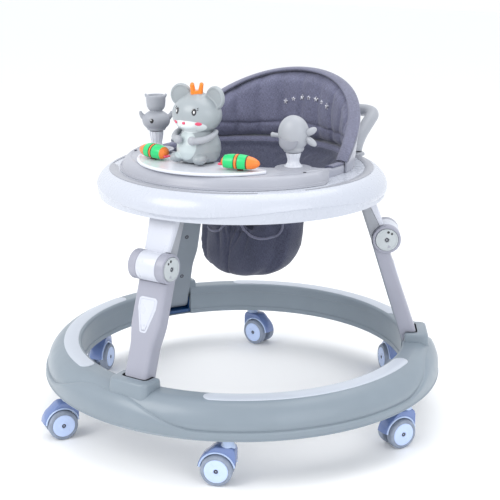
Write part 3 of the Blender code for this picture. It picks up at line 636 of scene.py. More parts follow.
def ring_station(angle, offset, cut):
    """The ring's outline on an upright plane beside a leg, or on a spoke when offset is None."""
    if offset is None:
        return on_spoke(ring_section(crease_share(angle)), angle)
    loop = []
    for r, z in ring_section(crease_share(angle + math.asin(offset / RING_OUTER))):
        x = math.sqrt(r * r - offset * offset)
        if cut:
            x = max(x, slot_edge(z))
        loop.append(Matrix.Rotation(angle, 3, "Z") @ Vector((x, offset, z)))
    return loop


def leg_angle(number):
    place = joint_place(f"leg_fold_{number}")
    return math.atan2(place.y, place.x)


def floor_ring():
    loops = []
    edge = math.asin(BLOCK_HALF / 0.314)
    span = 2 * math.pi / 3 - 2 * edge
    steps = 56
    beside = (0.032, 0.040, 0.048, BLOCK_HALF)
    for number in (1, 2, 3):
        angle = leg_angle(number)
        for offset in [-reach for reach in reversed(beside)] + [-CRADLE_HALF]:
            loops.append(ring_station(angle, offset, False))
        for i in range(9):
            loops.append(ring_station(angle, CRADLE_HALF * (i - 4) / 4, True))
        for offset in (CRADLE_HALF, *beside):
            loops.append(ring_station(angle, offset, False))
        for i in range(1, steps):
            loops.append(ring_station(angle + edge + span * i / steps, None, False))
    ring = loft(loops, closed=True)
    for number in (1, 2, 3):
        ring.join(collar().moved(Matrix.Rotation(leg_angle(number), 4, "Z")))
    piece("floor_ring", ring, [RING_GREY], "base", ["base_ring"])


def collar():
    """Raised wall round three sides of a leg's slot, closer to the leg above the cradle."""
    levels = [(COLLAR_FOOT, 0.0, CRADLE_HALF), (0.1192, 0.0, CRADLE_HALF)]
    levels += [(z, inset, COLLAR_SLOT) for z, inset in (
        (0.1196, 0.0), (0.1300, 0.0), (COLLAR_TOP - 0.0042, 0.0), (COLLAR_TOP - 0.0022, 0.0004),
        (COLLAR_TOP - 0.0008, 0.0012), (COLLAR_TOP, 0.0028))]
    loops = []
    for z, inset, slot in levels:
        taper = 0.0035 * (z - COLLAR_FOOT) / (COLLAR_TOP - COLLAR_FOOT)
        half = 0.0400 - taper
        outer = 0.3290 - 1.3 * taper
        edge = slot_edge(z) - (0.0022 if slot < CRADLE_HALF else 0.0)
        outline = rounded([(COLLAR_INNER, slot), (edge, slot), (edge, -slot), (COLLAR_INNER, -slot),
                           (COLLAR_INNER, -half), (outer, -half), (outer, half), (COLLAR_INNER, half)],
                          [0.002, 0.004, 0.004, 0.002, 0.004, 0.011, 0.011, 0.004])
        loops.append(at_height(shrunk(outline, inset), z))
    return loft(loops)


def ring_inlays():
    """White bands let into the top of the ring, with rounded ends."""
    for number in (1, 2, 3):
        node = f"base_inlay_{number}"
        low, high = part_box(node)
        middle = (low + high) / 2
        centre = math.atan2(middle.y, middle.x)
        half = math.radians(INLAY_SWEEP)
        waist, reach = (INLAY_INNER + INLAY_OUTER) / 2, (INLAY_OUTER - INLAY_INNER) / 2
        ease = reach / waist
        spans = [half * i / 40 for i in range(-40, 41)]
        ends = [half - ease * (1 - math.sin(math.radians(a))) for a in (2, 8, 18, 30, 45, 60, 75)]
        angles = sorted(set([s for s in spans if abs(s) < half - ease] + ends + [-e for e in ends]))
        loops = []
        for angle in angles:
            gap = max(abs(angle) - (half - ease), 0.0) / ease
            wide = reach * math.sqrt(max(1.0 - gap * gap, 0.0001))
            section = [(waist - wide, RING_TOP - 0.0014), (waist - wide, RING_TOP - 0.0004),
                       (waist - wide * 0.95, RING_TOP + 0.0006), (waist - wide * 0.85, high.z),
                       (waist + wide * 0.25, high.z), (waist + wide * 0.88, RING_TOP + 0.0004),
                       (waist + wide * 0.97, RING_TOP - 0.0002), (waist + wide, RING_TOP - 0.0014)]
            loops.append(on_spoke(section, centre + angle))
        piece(f"ring_inlay_{number}", loft(loops), [INLAY_WHITE], "base", [node])


def under_cover():
    """Flat cover under the ring, with its screws."""
    low = RING_LOW + 0.0004
    cover = lathe([(0.2850, low + 0.0024), (0.2850, low + 0.0006), (0.2858, low), (0.3422, low),
                   (0.3430, low + 0.0006), (0.3430, low + 0.0024)], 192, closed=True)
    for i in range(24):
        angle = math.radians(15.0 * i + 7.5)
        radius = 0.2905 if i % 2 else 0.3365
        head = screw().turned(180, "X").shifted(radius * math.cos(angle), radius * math.sin(angle), low)
        cover.join(head)
    piece("ring_under_cover", cover, [COVER_GREY, SCREW_METAL], "base", ["base_under_cover"])


# ---------------------------------------------------------------- legs
BARREL_RADIUS = 0.0240
BARREL_HALF = 0.0190
CHEEK_OUTER = 0.0340
KNEE_GAP = BARREL_RADIUS + 0.0010    # radius kept clear round the knee barrel
DISC_RADIUS = 0.0190
DISC_SEAT = 0.0268                   # floor of the cheek's recess, clear of the pressed button
EYE_RADIUS = 0.0115                  # round end of the upper leg, about its pin in the tray


def barrel(profile, steps=56, tone=0, tones=None):
    """Round solid about the knee pin from (radius, distance along it) points, in leg space."""
    made = lathe(profile, steps, tone, tones).turned(-90, "X")
    return made.shifted(KNEE_OFFSET, 0.0, 0.0)


def leg_sections():
    """(height, half width, half thickness) up the lower leg."""
    sections = []
    for angle in (80, 60, 40, 20):
        sections.append((-LOWER_LENGTH - 0.015 * math.sin(math.radians(angle)), 0.0215,
                         0.015 * math.cos(math.radians(angle))))
    for i in range(31):
        z = -LOWER_LENGTH + (LOWER_LENGTH - 0.0002) * i / 30
        share = 1 + z / LOWER_LENGTH
        wide = 0.0215 + 0.0014 * share + 0.0056 * smooth(-0.132, -0.088, z)
        sections.append((z, wide, 0.0150 - 0.0030 * share))
    return sections


def lower_leg(number):
    """Tapering grey leg with a rounded foot, two cheeks round the knee barrel and screws inside."""
    loops = []
    for z, wide, thick in leg_sections():
        soft = min(0.0062, thick * 0.8)
        loops.append(at_height(box_outline(-thick, thick, wide, soft * 0.7, soft), z))
    leg = new_object(f"leg_lower_{number}", loft(loops), [LEG_GREY, SCREW_METAL, INNER_GREY])
    carve(leg, barrel([(KNEE_GAP, -0.05), (KNEE_GAP, 0.05)]))
    for polygon in leg.data.polygons:
        if polygon.normal.x < -0.7:
            polygon.material_index = 2
    extra = Solid()
    for side in (-1, 1):
        cheek = barrel([(0.0235, BARREL_HALF + 0.0001), (BARREL_RADIUS, BARREL_HALF + 0.0007),
                        (BARREL_RADIUS, CHEEK_OUTER - 0.0016), (BARREL_RADIUS - 0.0005, CHEEK_OUTER - 0.0005),
                        (BARREL_RADIUS - 0.0014, CHEEK_OUTER), (DISC_RADIUS + 0.0010, CHEEK_OUTER),
                        (DISC_RADIUS + 0.0004, CHEEK_OUTER - 0.0006), (DISC_RADIUS + 0.0004, DISC_SEAT),
                        (0.0160, DISC_SEAT)])
        if side < 0:
            cheek.moved(Matrix.Diagonal((1, -1, 1, 1)))
        extra.join(cheek)
        arm = plate(rounded([(-0.0080, -0.0400), (0.0100, -0.0400), (0.0100, -0.0080), (-0.0080, -0.0080)],
                            0.0020), 0.0200, 0.0270, 0.0010).turned(90, "X")
        extra.join(arm.moved(Matrix.Diagonal((1, -side, 1, 1))))
    for z in (-0.060, -0.150):
        head = screw(0.0042).turned(-90, "Y").shifted(-0.0118 + 0.0030 * z / LOWER_LENGTH, 0.0, z)
        extra.join(head)
    join_into(leg, extra)
    placed(leg, leg_space(number), 30.0, f"lower_leg_{number}", [f"lower_leg_{number}"])


def join_into(thing, solid):
    """Add more closed solids to an object's mesh, keeping their material numbers."""
    other = new_object("extra", solid, list(thing.data.materials))
    work = bmesh.new()
    work.from_mesh(thing.data)
    work.from_mesh(other.data)
    work.to_mesh(thing.data)
    work.free()
    bpy.data.objects.remove(other, do_unlink=True)
    return thing


def leg_inlay(number):
    """White keyhole plate on the leg's outer face, with a sunk line inside its edge."""
    top, bottom = -0.0490, -0.1060
    outline = rounded([(-0.0180, top), (0.0180, top), (0.0175, top - 0.018), (0.0062, bottom),
                       (-0.0062, bottom), (-0.0175, top - 0.018)],
                      [0.0065, 0.0065, 0.006, 0.0045, 0.0045, 0.006], 6)
    plate_solid = relief(outline, [(0.0, -0.0016), (0.0, 0.0006), (0.0004, 0.0011), (0.0011, 0.0014),
                                   (0.0030, 0.0014), (0.0034, 0.0008), (0.0042, 0.0008), (0.0046, 0.0014),
                                   (0.0052, 0.0015)])
    plate_solid.join(screw(0.0022, 0).shifted(0.0, bottom + 0.012, 0.0012))
    # The plate is built lying down with its length along Y, then stood on the leg's outer face.
    plate_solid.moved(Matrix(((0, 0, 1, 0.0125), (1, 0, 0, 0), (0, 1, 0, 0), (0, 0, 0, 1))))
    plate_solid.moved(leg_space(number))
    piece(f"leg_plate_{number}", plate_solid, [TRIM_WHITE], f"lower_leg_{number}",
          [f"leg_inlay_{number}"])


def knee_disc():
    """Round cap with a rim, a screw in the middle and small plain marks, facing +Y in leg space."""
    face = 0.0358
    disc = barrel([(DISC_RADIUS - 0.0004, 0.0296), (DISC_RADIUS, 0.0302), (DISC_RADIUS, face - 0.0010),
                   (DISC_RADIUS - 0.0004, face - 0.0003), (DISC_RADIUS - 0.0012, face),
                   (DISC_RADIUS - 0.0022, face), (DISC_RADIUS - 0.0028, face - 0.0007),
                   (0.0080, face - 0.0002), (0.0046, face - 0.0001), (0.0042, face - 0.0014),
                   (0.0010, face - 0.0014)])
    head = screw(0.0036, 1).turned(-90, "X").shifted(KNEE_OFFSET, face - 0.0014, 0.0)
    disc.join(head)
    for angle, radius in ((62.0, 0.0022), (34.0, 0.0019)):
        spot = lathe([(radius, -0.0006), (radius, 0.0001), (radius * 0.8, 0.0003)], 16, 2).turned(-90, "X")
        a = math.radians(angle)
        disc.join(spot.shifted(KNEE_OFFSET + 0.0135 * math.cos(a), face - 0.0004, 0.0135 * math.sin(a)))
    arrow = rounded([(-0.0035, -0.0020), (0.0035, -0.0020), (0.0, 0.0034)], 0.0005, 2)
    mark = relief(arrow, [(0.0, -0.0004), (0.0, 0.0001), (0.0003, 0.0002)], 3).turned(-90, "X")
    disc.join(mark.moved(Matrix.Diagonal((1, 1, -1, 1))).shifted(KNEE_OFFSET, face - 0.0004, -0.0120))
    return disc


def knee_discs(number):
    looks = [CAP_GREY, SCREW_METAL, MARK_BLACK, PANEL_GREY]
    cap = knee_disc().moved(leg_space(number))
    piece(f"knee_cap_{number}", cap, looks, f"lower_leg_{number}", [f"knee_pin_{number}"])
    button = knee_disc().moved(leg_space(number) @ Matrix.Diagonal((1, -1, 1, 1)))
    piece(f"knee_release_{number}", button, looks, f"knee_button_{number}", [f"knee_button_{number}"])


def upper_leg(number):
    """White outer half that carries the knee barrel, and grey inner half; their split leans."""
    cover_loops, back_loops = [], []
    rows = 12
    for i in range(rows + 1):
        share = i / rows
        z = 0.0003 + (UPPER_LENGTH - 0.0003) * share
        wide = 0.0240 + 0.0038 * smooth(0.0, 1.0, share)
        split = 0.0110 - 0.0080 * smooth(0.05, 0.75, share)
        deep = 0.0175 - 0.0045 * share
        cover_loops.append(at_height(box_outline(split + 0.0002, deep, wide, 0.0006, 0.0042), z))
        inner = box_outline(-EYE_RADIUS, split - 0.0002, wide - 0.0004, 0.0050, 0.0006)
        back_loops.append(at_height(inner, z))
    for angle in (20, 40, 58):
        z = UPPER_LENGTH + EYE_RADIUS * math.sin(math.radians(angle))
        reach = EYE_RADIUS * math.cos(math.radians(angle))
        cover_loops.append(at_height(box_outline(0.0032, max(reach, 0.0050), 0.0274, 0.0006, 0.0010), z))
        back_loops.append(at_height(box_outline(-reach, 0.0028, 0.0270, 0.0030, 0.0006), z))
    cover = new_object(f"leg_cover_{number}", loft(cover_loops), [TRIM_WHITE])
    for side in (-1, 1):
        inner, outer = sorted((side * (BARREL_HALF - 0.0002), side * 0.05))
        carve(cover, barrel([(KNEE_GAP, inner), (KNEE_GAP, outer)]))
    ends = [(0.0009, 0.0003), (0.0002, 0.0006), (0.0, 0.0014)]
    middle = [(BARREL_RADIUS - inset, -BARREL_HALF + shift) for inset, shift in ends]
    middle += [(BARREL_RADIUS - inset, BARREL_HALF - shift) for inset, shift in reversed(ends)]
    join_into(cover, barrel(middle))
    placed(cover, leg_space(number), 34.0, f"upper_leg_{number}", [f"upper_leg_cover_{number}"])
    back = new_object(f"leg_back_{number}", loft(back_loops), [BACK_GREY, SCREW_METAL])
    carve(back, barrel([(KNEE_GAP, -0.05), (KNEE_GAP, 0.05)]))
    heads = Solid()
    for z in (0.036, 0.088):
        heads.join(screw(0.0040).turned(-90, "Y").shifted(-EYE_RADIUS, 0.0, z))
    join_into(back, heads)
    placed(back, leg_space(number), 30.0, f"upper_leg_{number}", [f"upper_leg_back_{number}"])


def legs():
    for number in (1, 2, 3):
        lower_leg(number)
        leg_inlay(number)
        knee_discs(number)
        upper_leg(number)
        # The cradle's deep blue is painted shade for the slot floor.
        repaint(f"pivot_cradle_{number}", CRADLE_SHADE_BLUE)


def repaint(node, look):
    """Give a CAD node a finished material."""
    thing = frame["nodes"][node]
    if not thing.data.materials:
        thing.data.materials.append(look)
    for slot in thing.material_slots:
        slot.material = look


# ---------------------------------------------------------------- casters
WHEEL_RADIUS = joint_place("wheel_roll_1_a").z
AXLE_X = 0.016                       # trail of the axle behind the stem
WHEEL_SPREAD = 0.0022


def caster_space(number):
    """From caster space (stem at the origin, axle on +X) to the frame."""
    stem = joint_place(f"caster_swivel_{number}")
    axle = joint_place(f"wheel_roll_{number}_a")
    heading = math.atan2(axle.y - stem.y, axle.x - stem.x)
    return Matrix.Translation((stem.x, stem.y, 0.0)) @ Matrix.Rotation(heading, 4, "Z")


def caster_hood(number):
    """Fork and guard of a caster: a lavender shell over both wheels with a pale lip."""
    inside = WHEEL_RADIUS + 0.0012
    axle = (AXLE_X, WHEEL_RADIUS)
    side = arc(axle, inside, 6, 172, 28)
    side += [(-0.0112, 0.0300), (-0.0130, 0.0350), (-0.0130, 0.0530), (-0.0108, 0.0590), (-0.0070, 0.0620),
             (0.0180, 0.0622), (0.0240, 0.0590)]
    side += arc(axle, inside + 0.0046, 58, 6, 9)
    hood = plate(side, -0.0122, 0.0122, 0.0020).turned(90, "X")
    for half in (-1, 1):
        lip = arc(axle, inside + 0.0014, 6, 170, 30)
        path = [(x, half * 0.0118, z) for x, z in lip]
        hood.join(tube(path, 0.0016, 10, tone=1, up=Vector((0, 1, 0))))
    web = rounded([(0.0000, 0.0560), (0.0040, 0.0140), (0.0260, 0.0140), (0.0320, 0.0520)], 0.005)
    hood.join(plate(web, -0.0046, 0.0046, 0.0010, 1).turned(90, "X"))
    axle_pin = lathe([(0.0024, -0.0180), (0.0024, 0.0180)], 16, 2).turned(90, "X")
    hood.join(axle_pin.shifted(axle[0], 0.0, axle[1]))
    hood.join(lathe([(0.0118, 0.0590), (0.0112, 0.0630), (0.0094, 0.0660), (0.0090, 0.0762), (0.0055, 0.0766),
                     (0.0050, 0.0900)], 32, 1))
    hood.moved(caster_space(number))
    piece(f"caster_guard_{number}", hood, [HOOD_BLUE, LIP_BLUE, SCREW_METAL], f"caster_{number}",
          [f"caster_hood_{number}"])


def caster_wheel(number, letter):
    """Tyre, dished hub disc and screw of one of the twin wheels."""
    r = WHEEL_RADIUS
    wheel = lathe([(0.0030, 0.0036), (r * 0.55, 0.0034), (r - 0.0040, 0.0034), (r - 0.0012, 0.0040),
                   (r - 0.0003, 0.0052), (r, 0.0070), (r, 0.0140), (r - 0.0004, 0.0158), (r - 0.0018, 0.0170),
                   (r - 0.0048, 0.0174), (r - 0.0052, 0.0168), (r - 0.0060, 0.0168), (r - 0.0064, 0.0175),
                   (r - 0.0080, 0.0180), (0.0120, 0.0172), (0.0060, 0.0172), (0.0050, 0.0176),
                   (0.0042, 0.0176), (0.0036, 0.0166), (0.0006, 0.0166)], 56, tones=[1] + [0] * 10 + [1] * 9)
    wheel.join(screw(0.0034, 2).shifted(0.0, 0.0, 0.0168))
    wheel.shifted(0.0, 0.0, WHEEL_SPREAD).turned(-90 if letter == "a" else 90, "X")
    wheel.shifted(AXLE_X, 0.0, WHEEL_RADIUS).moved(caster_space(number))
    piece(f"wheel_{number}_{letter}_tyre", wheel, [TYRE_GREY, HUB_BLUE, SCREW_METAL],
          f"wheel_{number}_{letter}", [f"caster_wheel_{number}_{letter}"])


def casters():
    for number in range(1, 7):
        caster_hood(number)
        caster_wheel(number, "a")
        caster_wheel(number, "b")


# ---------------------------------------------------------------- tray
BELLY_EDGE = -0.032
BELLY_HALF = 0.135
BELLY_DEPTH = 0.056
SKIRT_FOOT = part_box("tray_shell")[0].z
SKIRT_WIDEST = 0.4030
SKIRT_START = 0.2220
SKIRT_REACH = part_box("tray_shell")[1].x - SKIRT_START


def seat_outline(inset, steps=110, front_steps=70):
    """The seat opening in plan: round at the back and sides, hollowed for the child in front."""
    radius = SEAT_RADIUS - inset
    edge = BELLY_EDGE + inset
    start = math.degrees(math.asin((edge - SEAT_CENTRE[1]) / radius))
    points = arc(SEAT_CENTRE, radius, start, 180.0 - start, steps)
    half = BELLY_HALF - inset
    for i in range(front_steps + 1):
        x = -half * math.cos(math.pi * i / front_steps)
        reach = 1.0 - abs(x / half) ** 3
        points.append((x, edge - BELLY_DEPTH * math.sqrt(max(reach, 0.0))))
    return points


def on_circle(point, radius):
    """Where the line from the seat's centre through the point meets a circle about the tray's centre."""
    ray = (Vector(point) - SEAT_CENTRE).normalized()
    along = SEAT_CENTRE.dot(ray)
    reach = math.sqrt(along * along + radius * radius - SEAT_CENTRE.length_squared)
    return SEAT_CENTRE + ray * (-along + reach)


def skirt_radius(z):
    if z < SKIRT_WIDEST:
        return SKIRT_START + SKIRT_REACH - 0.0040 * ((SKIRT_WIDEST - z) / (SKIRT_WIDEST - SKIRT_FOOT)) ** 2
    share = min((z - SKIRT_WIDEST) / (TRAY_TOP - SKIRT_WIDEST), 1.0)
    return SKIRT_START + SKIRT_REACH * (1.0 - share ** 1.7) ** (1 / 1.7)


def swoosh(angle):
    """Height of the step line moulded into the skirt."""
    return 0.4030 + 0.0062 * math.cos(3 * (angle - math.radians(-36.0)) + 0.6 * math.sin(angle))


def tray_shell():
    hole = seat_outline(0.0105)
    loops = [at_height(hole, TRAY_TOP - 0.0028), at_height(hole, TRAY_TOP - 0.0008),
             at_height(seat_outline(0.0097), TRAY_TOP)]
    for radius, z in ((0.2105, TRAY_TOP), (0.2125, TRAY_TOP + 0.0002), (0.2135, TRAY_TOP),
                      (0.2150, TRAY_TOP)):
        loops.append([(*on_circle(point, radius), z) for point in hole])
    rows = [math.sin(math.pi / 2 * i / 10) for i in range(11)]
    for share in rows:
        loop = []
        for point in hole:
            spot = on_circle(point, 0.2300)
            line = swoosh(math.atan2(spot.y, spot.x))
            z = TRAY_TOP + (line + 0.0010 - TRAY_TOP) * (1 - math.cos(math.pi / 2 * share))
            loop.append((*on_circle(point, skirt_radius(z)), z))
        loops.append(loop)
    for drop, step in ((0.0, 0.0003), (0.0010, 0.0016), (0.0040, 0.0022), (None, 0.0014), (0.0, 0.0)):
        loop = []
        for point in hole:
            spot = on_circle(point, 0.2300)
            line = swoosh(math.atan2(spot.y, spot.x))
            if drop is None:
                z = (line + SKIRT_FOOT) / 2
            elif step == 0.0:
                z = SKIRT_FOOT + 0.0008
            else:
                z = line - drop
            loop.append((*on_circle(point, skirt_radius(z) - step), z))
        loops.append(loop)
    for radius, z in ((0.2398, SKIRT_FOOT), (0.2388, SKIRT_FOOT), (0.2382, SKIRT_FOOT + 0.0008),
                      (0.2410, SKIRT_WIDEST), (0.2365, 0.4163), (0.2270, 0.4275), (0.2205, TRAY_TOP - 0.0030),
                      (0.2100, TRAY_TOP - 0.0030)):
        loops.append([(*on_circle(point, radius), z) for point in hole])
    shell = loft(loops, closed=True)
    for number in (1, 2, 3):
        for half in (-1, 1):
            inner, outer = sorted((half * 0.0302, half * 0.0342))
            side = [(0.1890, TRAY_TOP - 0.001), (0.1890, 0.4100)]
            side += arc(TRAY_PIN, 0.0110, 185, 355, 12)
            side += [(0.2130, TRAY_TOP - 0.001)]
            lug = plate(side, inner, outer, 0.0005).turned(90, "X").moved(Matrix.Diagonal((1, -1, 1, 1)))
            stub_low, stub_high = sorted((half * 0.0260, half * 0.0320))
            stub = lathe([(0.0022, stub_low), (0.0022, stub_high)], 16).turned(-90, "X")
            lug.join(stub.shifted(TRAY_PIN.x, 0.0, TRAY_PIN.y))
            shell.join(lug.moved(Matrix.Rotation(leg_angle(number), 4, "Z")))
    piece("tray_top", shell, [TRAY_WHITE], "tray", ["tray_shell"], 34.0)


def strip(name, start, end, inner, outer, bluntness=0.5):
    """Grey crescent let into the tray's top, widest where bluntness says along its length."""
    steps = 64
    waist, reach = (inner + outer) / 2, (outer - inner) / 2
    loops = []
    for i in range(steps + 1):
        share = i / steps
        angle = math.radians(start + (end - start) * share)
        rise = min(share / bluntness, 1.0)
        fall = min((1 - share) / (1 - bluntness), 1.0)
        wide = reach * max(math.sin(math.pi / 2 * min(rise, fall)) ** 0.8, 0.02)
        # The strip hugs its outer edge, so its tips run out along the tray's rim.
        outer_edge = waist + reach - (reach - wide) * 0.25
        inner_edge = outer_edge - 2 * wide
        crown = TRAY_TOP + 0.0011
        section = [(inner_edge, TRAY_TOP - 0.0010), (inner_edge, TRAY_TOP + 0.0005),
                   (inner_edge + wide * 0.15, crown), (outer_edge - wide * 0.15, crown),
                   (outer_edge, TRAY_TOP + 0.0005), (outer_edge, TRAY_TOP - 0.0010)]
        loops.append(on_spoke(section, angle))
    piece(name, loft(loops), [STRIP_GREY], "tray", [])


def tray_strips():
    strip("strip_right", -30.0, 72.0, 0.2080, 0.2240, 0.70)
    strip("strip_left", 210.0, 108.0, 0.2080, 0.2240, 0.70)
    strip("strip_front", -150.0, -50.0, 0.2095, 0.2250, 0.08)


def seat_rim():
    """Light frame round the seat opening, with a groove along its crown."""
    low = TRAY_TOP + 0.0001
    top = RIM_TOP
    levels = [(0.0, low), (0.0, low + 0.0095), (0.0006, top - 0.0018), (0.0018, top - 0.0004), (0.0034, top),
              (0.0046, top), (0.0050, top - 0.0007), (0.0056, top - 0.0007), (0.0060, top), (0.0086, top),
              (0.0104, top - 0.0006), (0.0114, top - 0.0022), (0.0118, low + 0.0095), (0.0118, low)]
    loops = [at_height(seat_outline(inset), z) for inset, z in levels]
    piece("seat_rim", loft(loops, closed=True), [RIM_GREY], "tray", ["seat_ring"])


def panel_outline(radius):
    """Crescent round the front of the seat rim, ending beside it."""
    steps = 80
    opening = seat_outline(-0.0006, steps, 70)
    corner = opening[0]
    points = arc((0.0, 0.0), radius, 343.0, 197.0, 90)
    points += arc((-corner[0] - 0.0105, corner[1] - 0.0045), 0.0095, 170.0, 95.0, 6)
    points += opening[steps:] + opening[:1]
    points += arc((corner[0] + 0.0105, corner[1] - 0.0045), 0.0095, 85.0, 10.0, 6)
    return points


def toy_panel():
    """Grey panel: a low wall, a crease, then a rounded slope up to the flat top."""
    low, top = TRAY_TOP + 0.0003, PANEL_TOP
    wall = 0.4372
    levels = [(0.2074, low), (0.2074, low + 0.0012), (0.2064, low + 0.0018), (0.2062, wall - 0.0008),
              (0.2056, wall), (0.2046, wall), (0.2040, wall - 0.0006), (0.2034, wall + 0.0002),
              (0.2026, wall + 0.0026), (0.2006, wall + 0.0066), (0.1978, wall + 0.0104),
              (0.1944, top - 0.0014), (0.1910, top - 0.0002), (0.1880, top), (0.1868, top - 0.0008),
              (0.1852, top - 0.0008), (0.1840, top)]
    panel = loft([at_height(panel_outline(radius), z) for radius, z in levels])
    looks = [PANEL_GREY, SCREW_METAL]
    for place in (POST_LEFT, POST_RIGHT):
        for radius, high in ((0.0300, 0.0010), (0.0235, 0.0020), (0.0175, 0.0030)):
            ring = lathe([(radius, top - 0.001), (radius, top + high - 0.0006),
                          (radius - 0.0004, top + high - 0.0001), (radius - 0.0012, top + high),
                          (0.008, top + high)], 64)
            panel.join(ring.shifted(place.x, place.y, 0.0))
    for side in (-1, 1):
        panel.join(screw(0.0030).shifted(side * 0.1700, -0.0760, top))
    piece("toy_panel_top", panel, looks, "tray", ["toy_panel"])


def toy_plate():
    """Half-moon white plate with a raised rim."""
    half, front, back, tip = 0.131, -0.200, -0.100, -0.112
    sag_front, sag_back = tip - front, back - tip
    radius_front = (half ** 2 + sag_front ** 2) / (2 * sag_front)
    radius_back = (half ** 2 + sag_back ** 2) / (2 * sag_back)
    spread_front = math.degrees(math.asin(half / radius_front)) - 4.0
    spread_back = math.degrees(math.asin(half / radius_back)) - 0.8
    outline = arc((0.0, front + radius_front), radius_front, 270 - spread_front, 270 + spread_front, 70)
    outline += arc((0.0, back - radius_back), radius_back, 90 - spread_back, 90 + spread_back, 50)
    low, top = PANEL_TOP + 0.0002, PLATE_TOP
    body = relief(outline, [(0.0008, low), (0.0, low + 0.0010), (0.0, top - 0.0022),
                            (0.0005, top - 0.0009), (0.0016, top - 0.0002), (0.0030, top),
                            (0.0048, top - 0.0002), (0.0060, top - 0.0010), (0.0074, top - 0.0012)])
    piece("toy_plate_top", body, [PLATE_WHITE], "tray", ["toy_plate"])


# ---------------------------------------------------------------- backrest and handle
def back_height(angle):
    """How far the backrest rises above the tray, round the seat from side to side."""
    start = math.radians(5.0)
    share = max(0.0, (angle - start) / (math.pi - 2 * start))
    return BACK_HEIGHT * max(0.0, math.sin(math.pi * min(share, 1.0))) ** 0.83


def back_point(radius, angle, z):
    return Vector((radius * math.cos(angle), BACK_CENTRE_Y + radius * math.sin(angle), z))


def shell_height(angle):
    return max(back_height(angle) - 0.006, 0.0050)


def backrest_shell():
    """Thin rigid shell behind the cushion, with a rolled top edge."""
    low = TRAY_TOP + 0.0003
    steps = 120
    loops = []
    for i in range(steps + 1):
        angle = math.radians(6.5 + 167.0 * i / steps)
        flare = BACK_FLARE * shell_height(angle)
        top = BACK_FOOT + shell_height(angle)
        inner, outer = SHELL_INNER + flare, SHELL_OUTER + flare
        section = [(SHELL_INNER, low), (SHELL_OUTER, low)]
        section += [(SHELL_OUTER + flare * share, low + (top - low - 0.003) * share)
                    for share in (0.3, 0.6, 0.9, 1.0)]
        section += [(outer + 0.0016, top - 0.0014), (outer + 0.0012, top - 0.0002), (outer - 0.0002, top),
                    (inner + 0.0002, top)]
        section += [(SHELL_INNER + flare * share, low + (top - low - 0.001) * share)
                    for share in (1.0, 0.66, 0.33)]
        loops.append([back_point(radius, angle, z) for radius, z in section])
    piece("backrest_back", loft(loops), [RIM_GREY], "tray", ["backrest_shell"])


def push_handle():
    rise = [(0.118, 0.187, TRAY_TOP + 0.0010), (0.118, 0.188, 0.4470), (0.118, 0.203, 0.4650),
            (0.118, 0.232, 0.4850), (0.114, 0.254, 0.4950), (0.098, 0.266, 0.4990), (0.060, 0.267, 0.4990)]
    path = curve_through(rise + [(-x, y, z) for x, y, z in reversed(rise)], 8)
    grip = tube(path, 0.0118, 28, flat=0.92)
    for side in (-1, 1):
        foot = lathe([(0.0160, TRAY_TOP + 0.0001), (0.0160, TRAY_TOP + 0.0030), (0.0150, TRAY_TOP + 0.0044),
                      (0.0126, TRAY_TOP + 0.0052), (0.0110, TRAY_TOP + 0.0054)], 40)
        grip.join(foot.shifted(side * 0.118, 0.187, 0.0))
    piece("handle_bar", grip, [HANDLE_GREY], "tray", ["push_handle"])


# ---------------------------------------------------------------- fabric
def inflate(thing, pressure, cap, frames=20):
    """Blow the closed cloth up a little, moving no point further than the cap."""
    start = [vertex.co.copy() for vertex in thing.data.vertices]
    cloth = thing.modifiers.new("cloth", "CLOTH")
    cloth.settings.quality = 4
    cloth.settings.mass = 0.3
    cloth.settings.use_pressure = True
    cloth.settings.uniform_pressure_force = pressure
    cloth.settings.effector_weights.gravity = 0.0
    cloth.settings.tension_stiffness = 18.0
    cloth.settings.bending_stiffness = 0.6
    cloth.point_cache.frame_start = 1
    cloth.point_cache.frame_end = frames
    for number in range(1, frames + 1):
        bpy.context.scene.frame_set(number)
    applied(thing)
    bpy.context.scene.frame_set(1)
    for vertex, rest in zip(thing.data.vertices, start):
        shift = vertex.co - rest
        if shift.length > cap:
            vertex.co = rest + shift.normalized() * cap
    return thing


def pressed(thing, depth):
    """Move each point along its normal by depth(point)."""
    normals = [vertex.normal.copy() for vertex in thing.data.vertices]
    for vertex, normal in zip(thing.data.vertices, normals):
        vertex.co += normal * depth(vertex.co, normal)
    return thing


def weave_map(thing, across, along):
    """UVs in metres from two functions of a point."""
    layer = thing.data.uv_layers.new(name="weave")
    places = [(across(vertex.co), along(vertex.co)) for vertex in thing.data.vertices]
    for loop in thing.data.loops:
        layer.data[loop.index].uv = places[loop.vertex_index]


def finish_cloth(thing, across, along, crease, nodes=()):
    """Weave, shading and body of a sewn piece that rides on the tray."""
    weave_map(thing, across, along)
    shade(thing, crease)
    mount(thing, "tray", nodes)


def bell(value, centre, width):
    return math.exp(-((value - centre) / width) ** 2)


# Upright creases of the cushion as (place, width) in degrees round the seat.
FOLDS = ((22.0, 1.8), (34.0, 2.0), (47.0, 2.6), (60.0, 1.8), (74.0, 2.6), (88.0, 2.0), (101.0, 2.4),
         (116.0, 2.8), (131.0, 2.0), (147.0, 2.6))
SEAM_RISE = 0.0330


def fold_depth(angle, rise):
    """How deep the upright creases are, angle in degrees round the seat."""
    total = 0.0
    for i, (place, width) in enumerate(FOLDS):
        wander = 3.0 * noise.noise(Vector((place, rise * 22.0, 4.0)))
        reach = bell(rise, SEAM_RISE, 0.030 + 0.012 * (i % 3)) if rise > SEAM_RISE else 1.0
        total += bell(angle + wander, place, width) * (0.65 + 0.35 * reach)
    return total


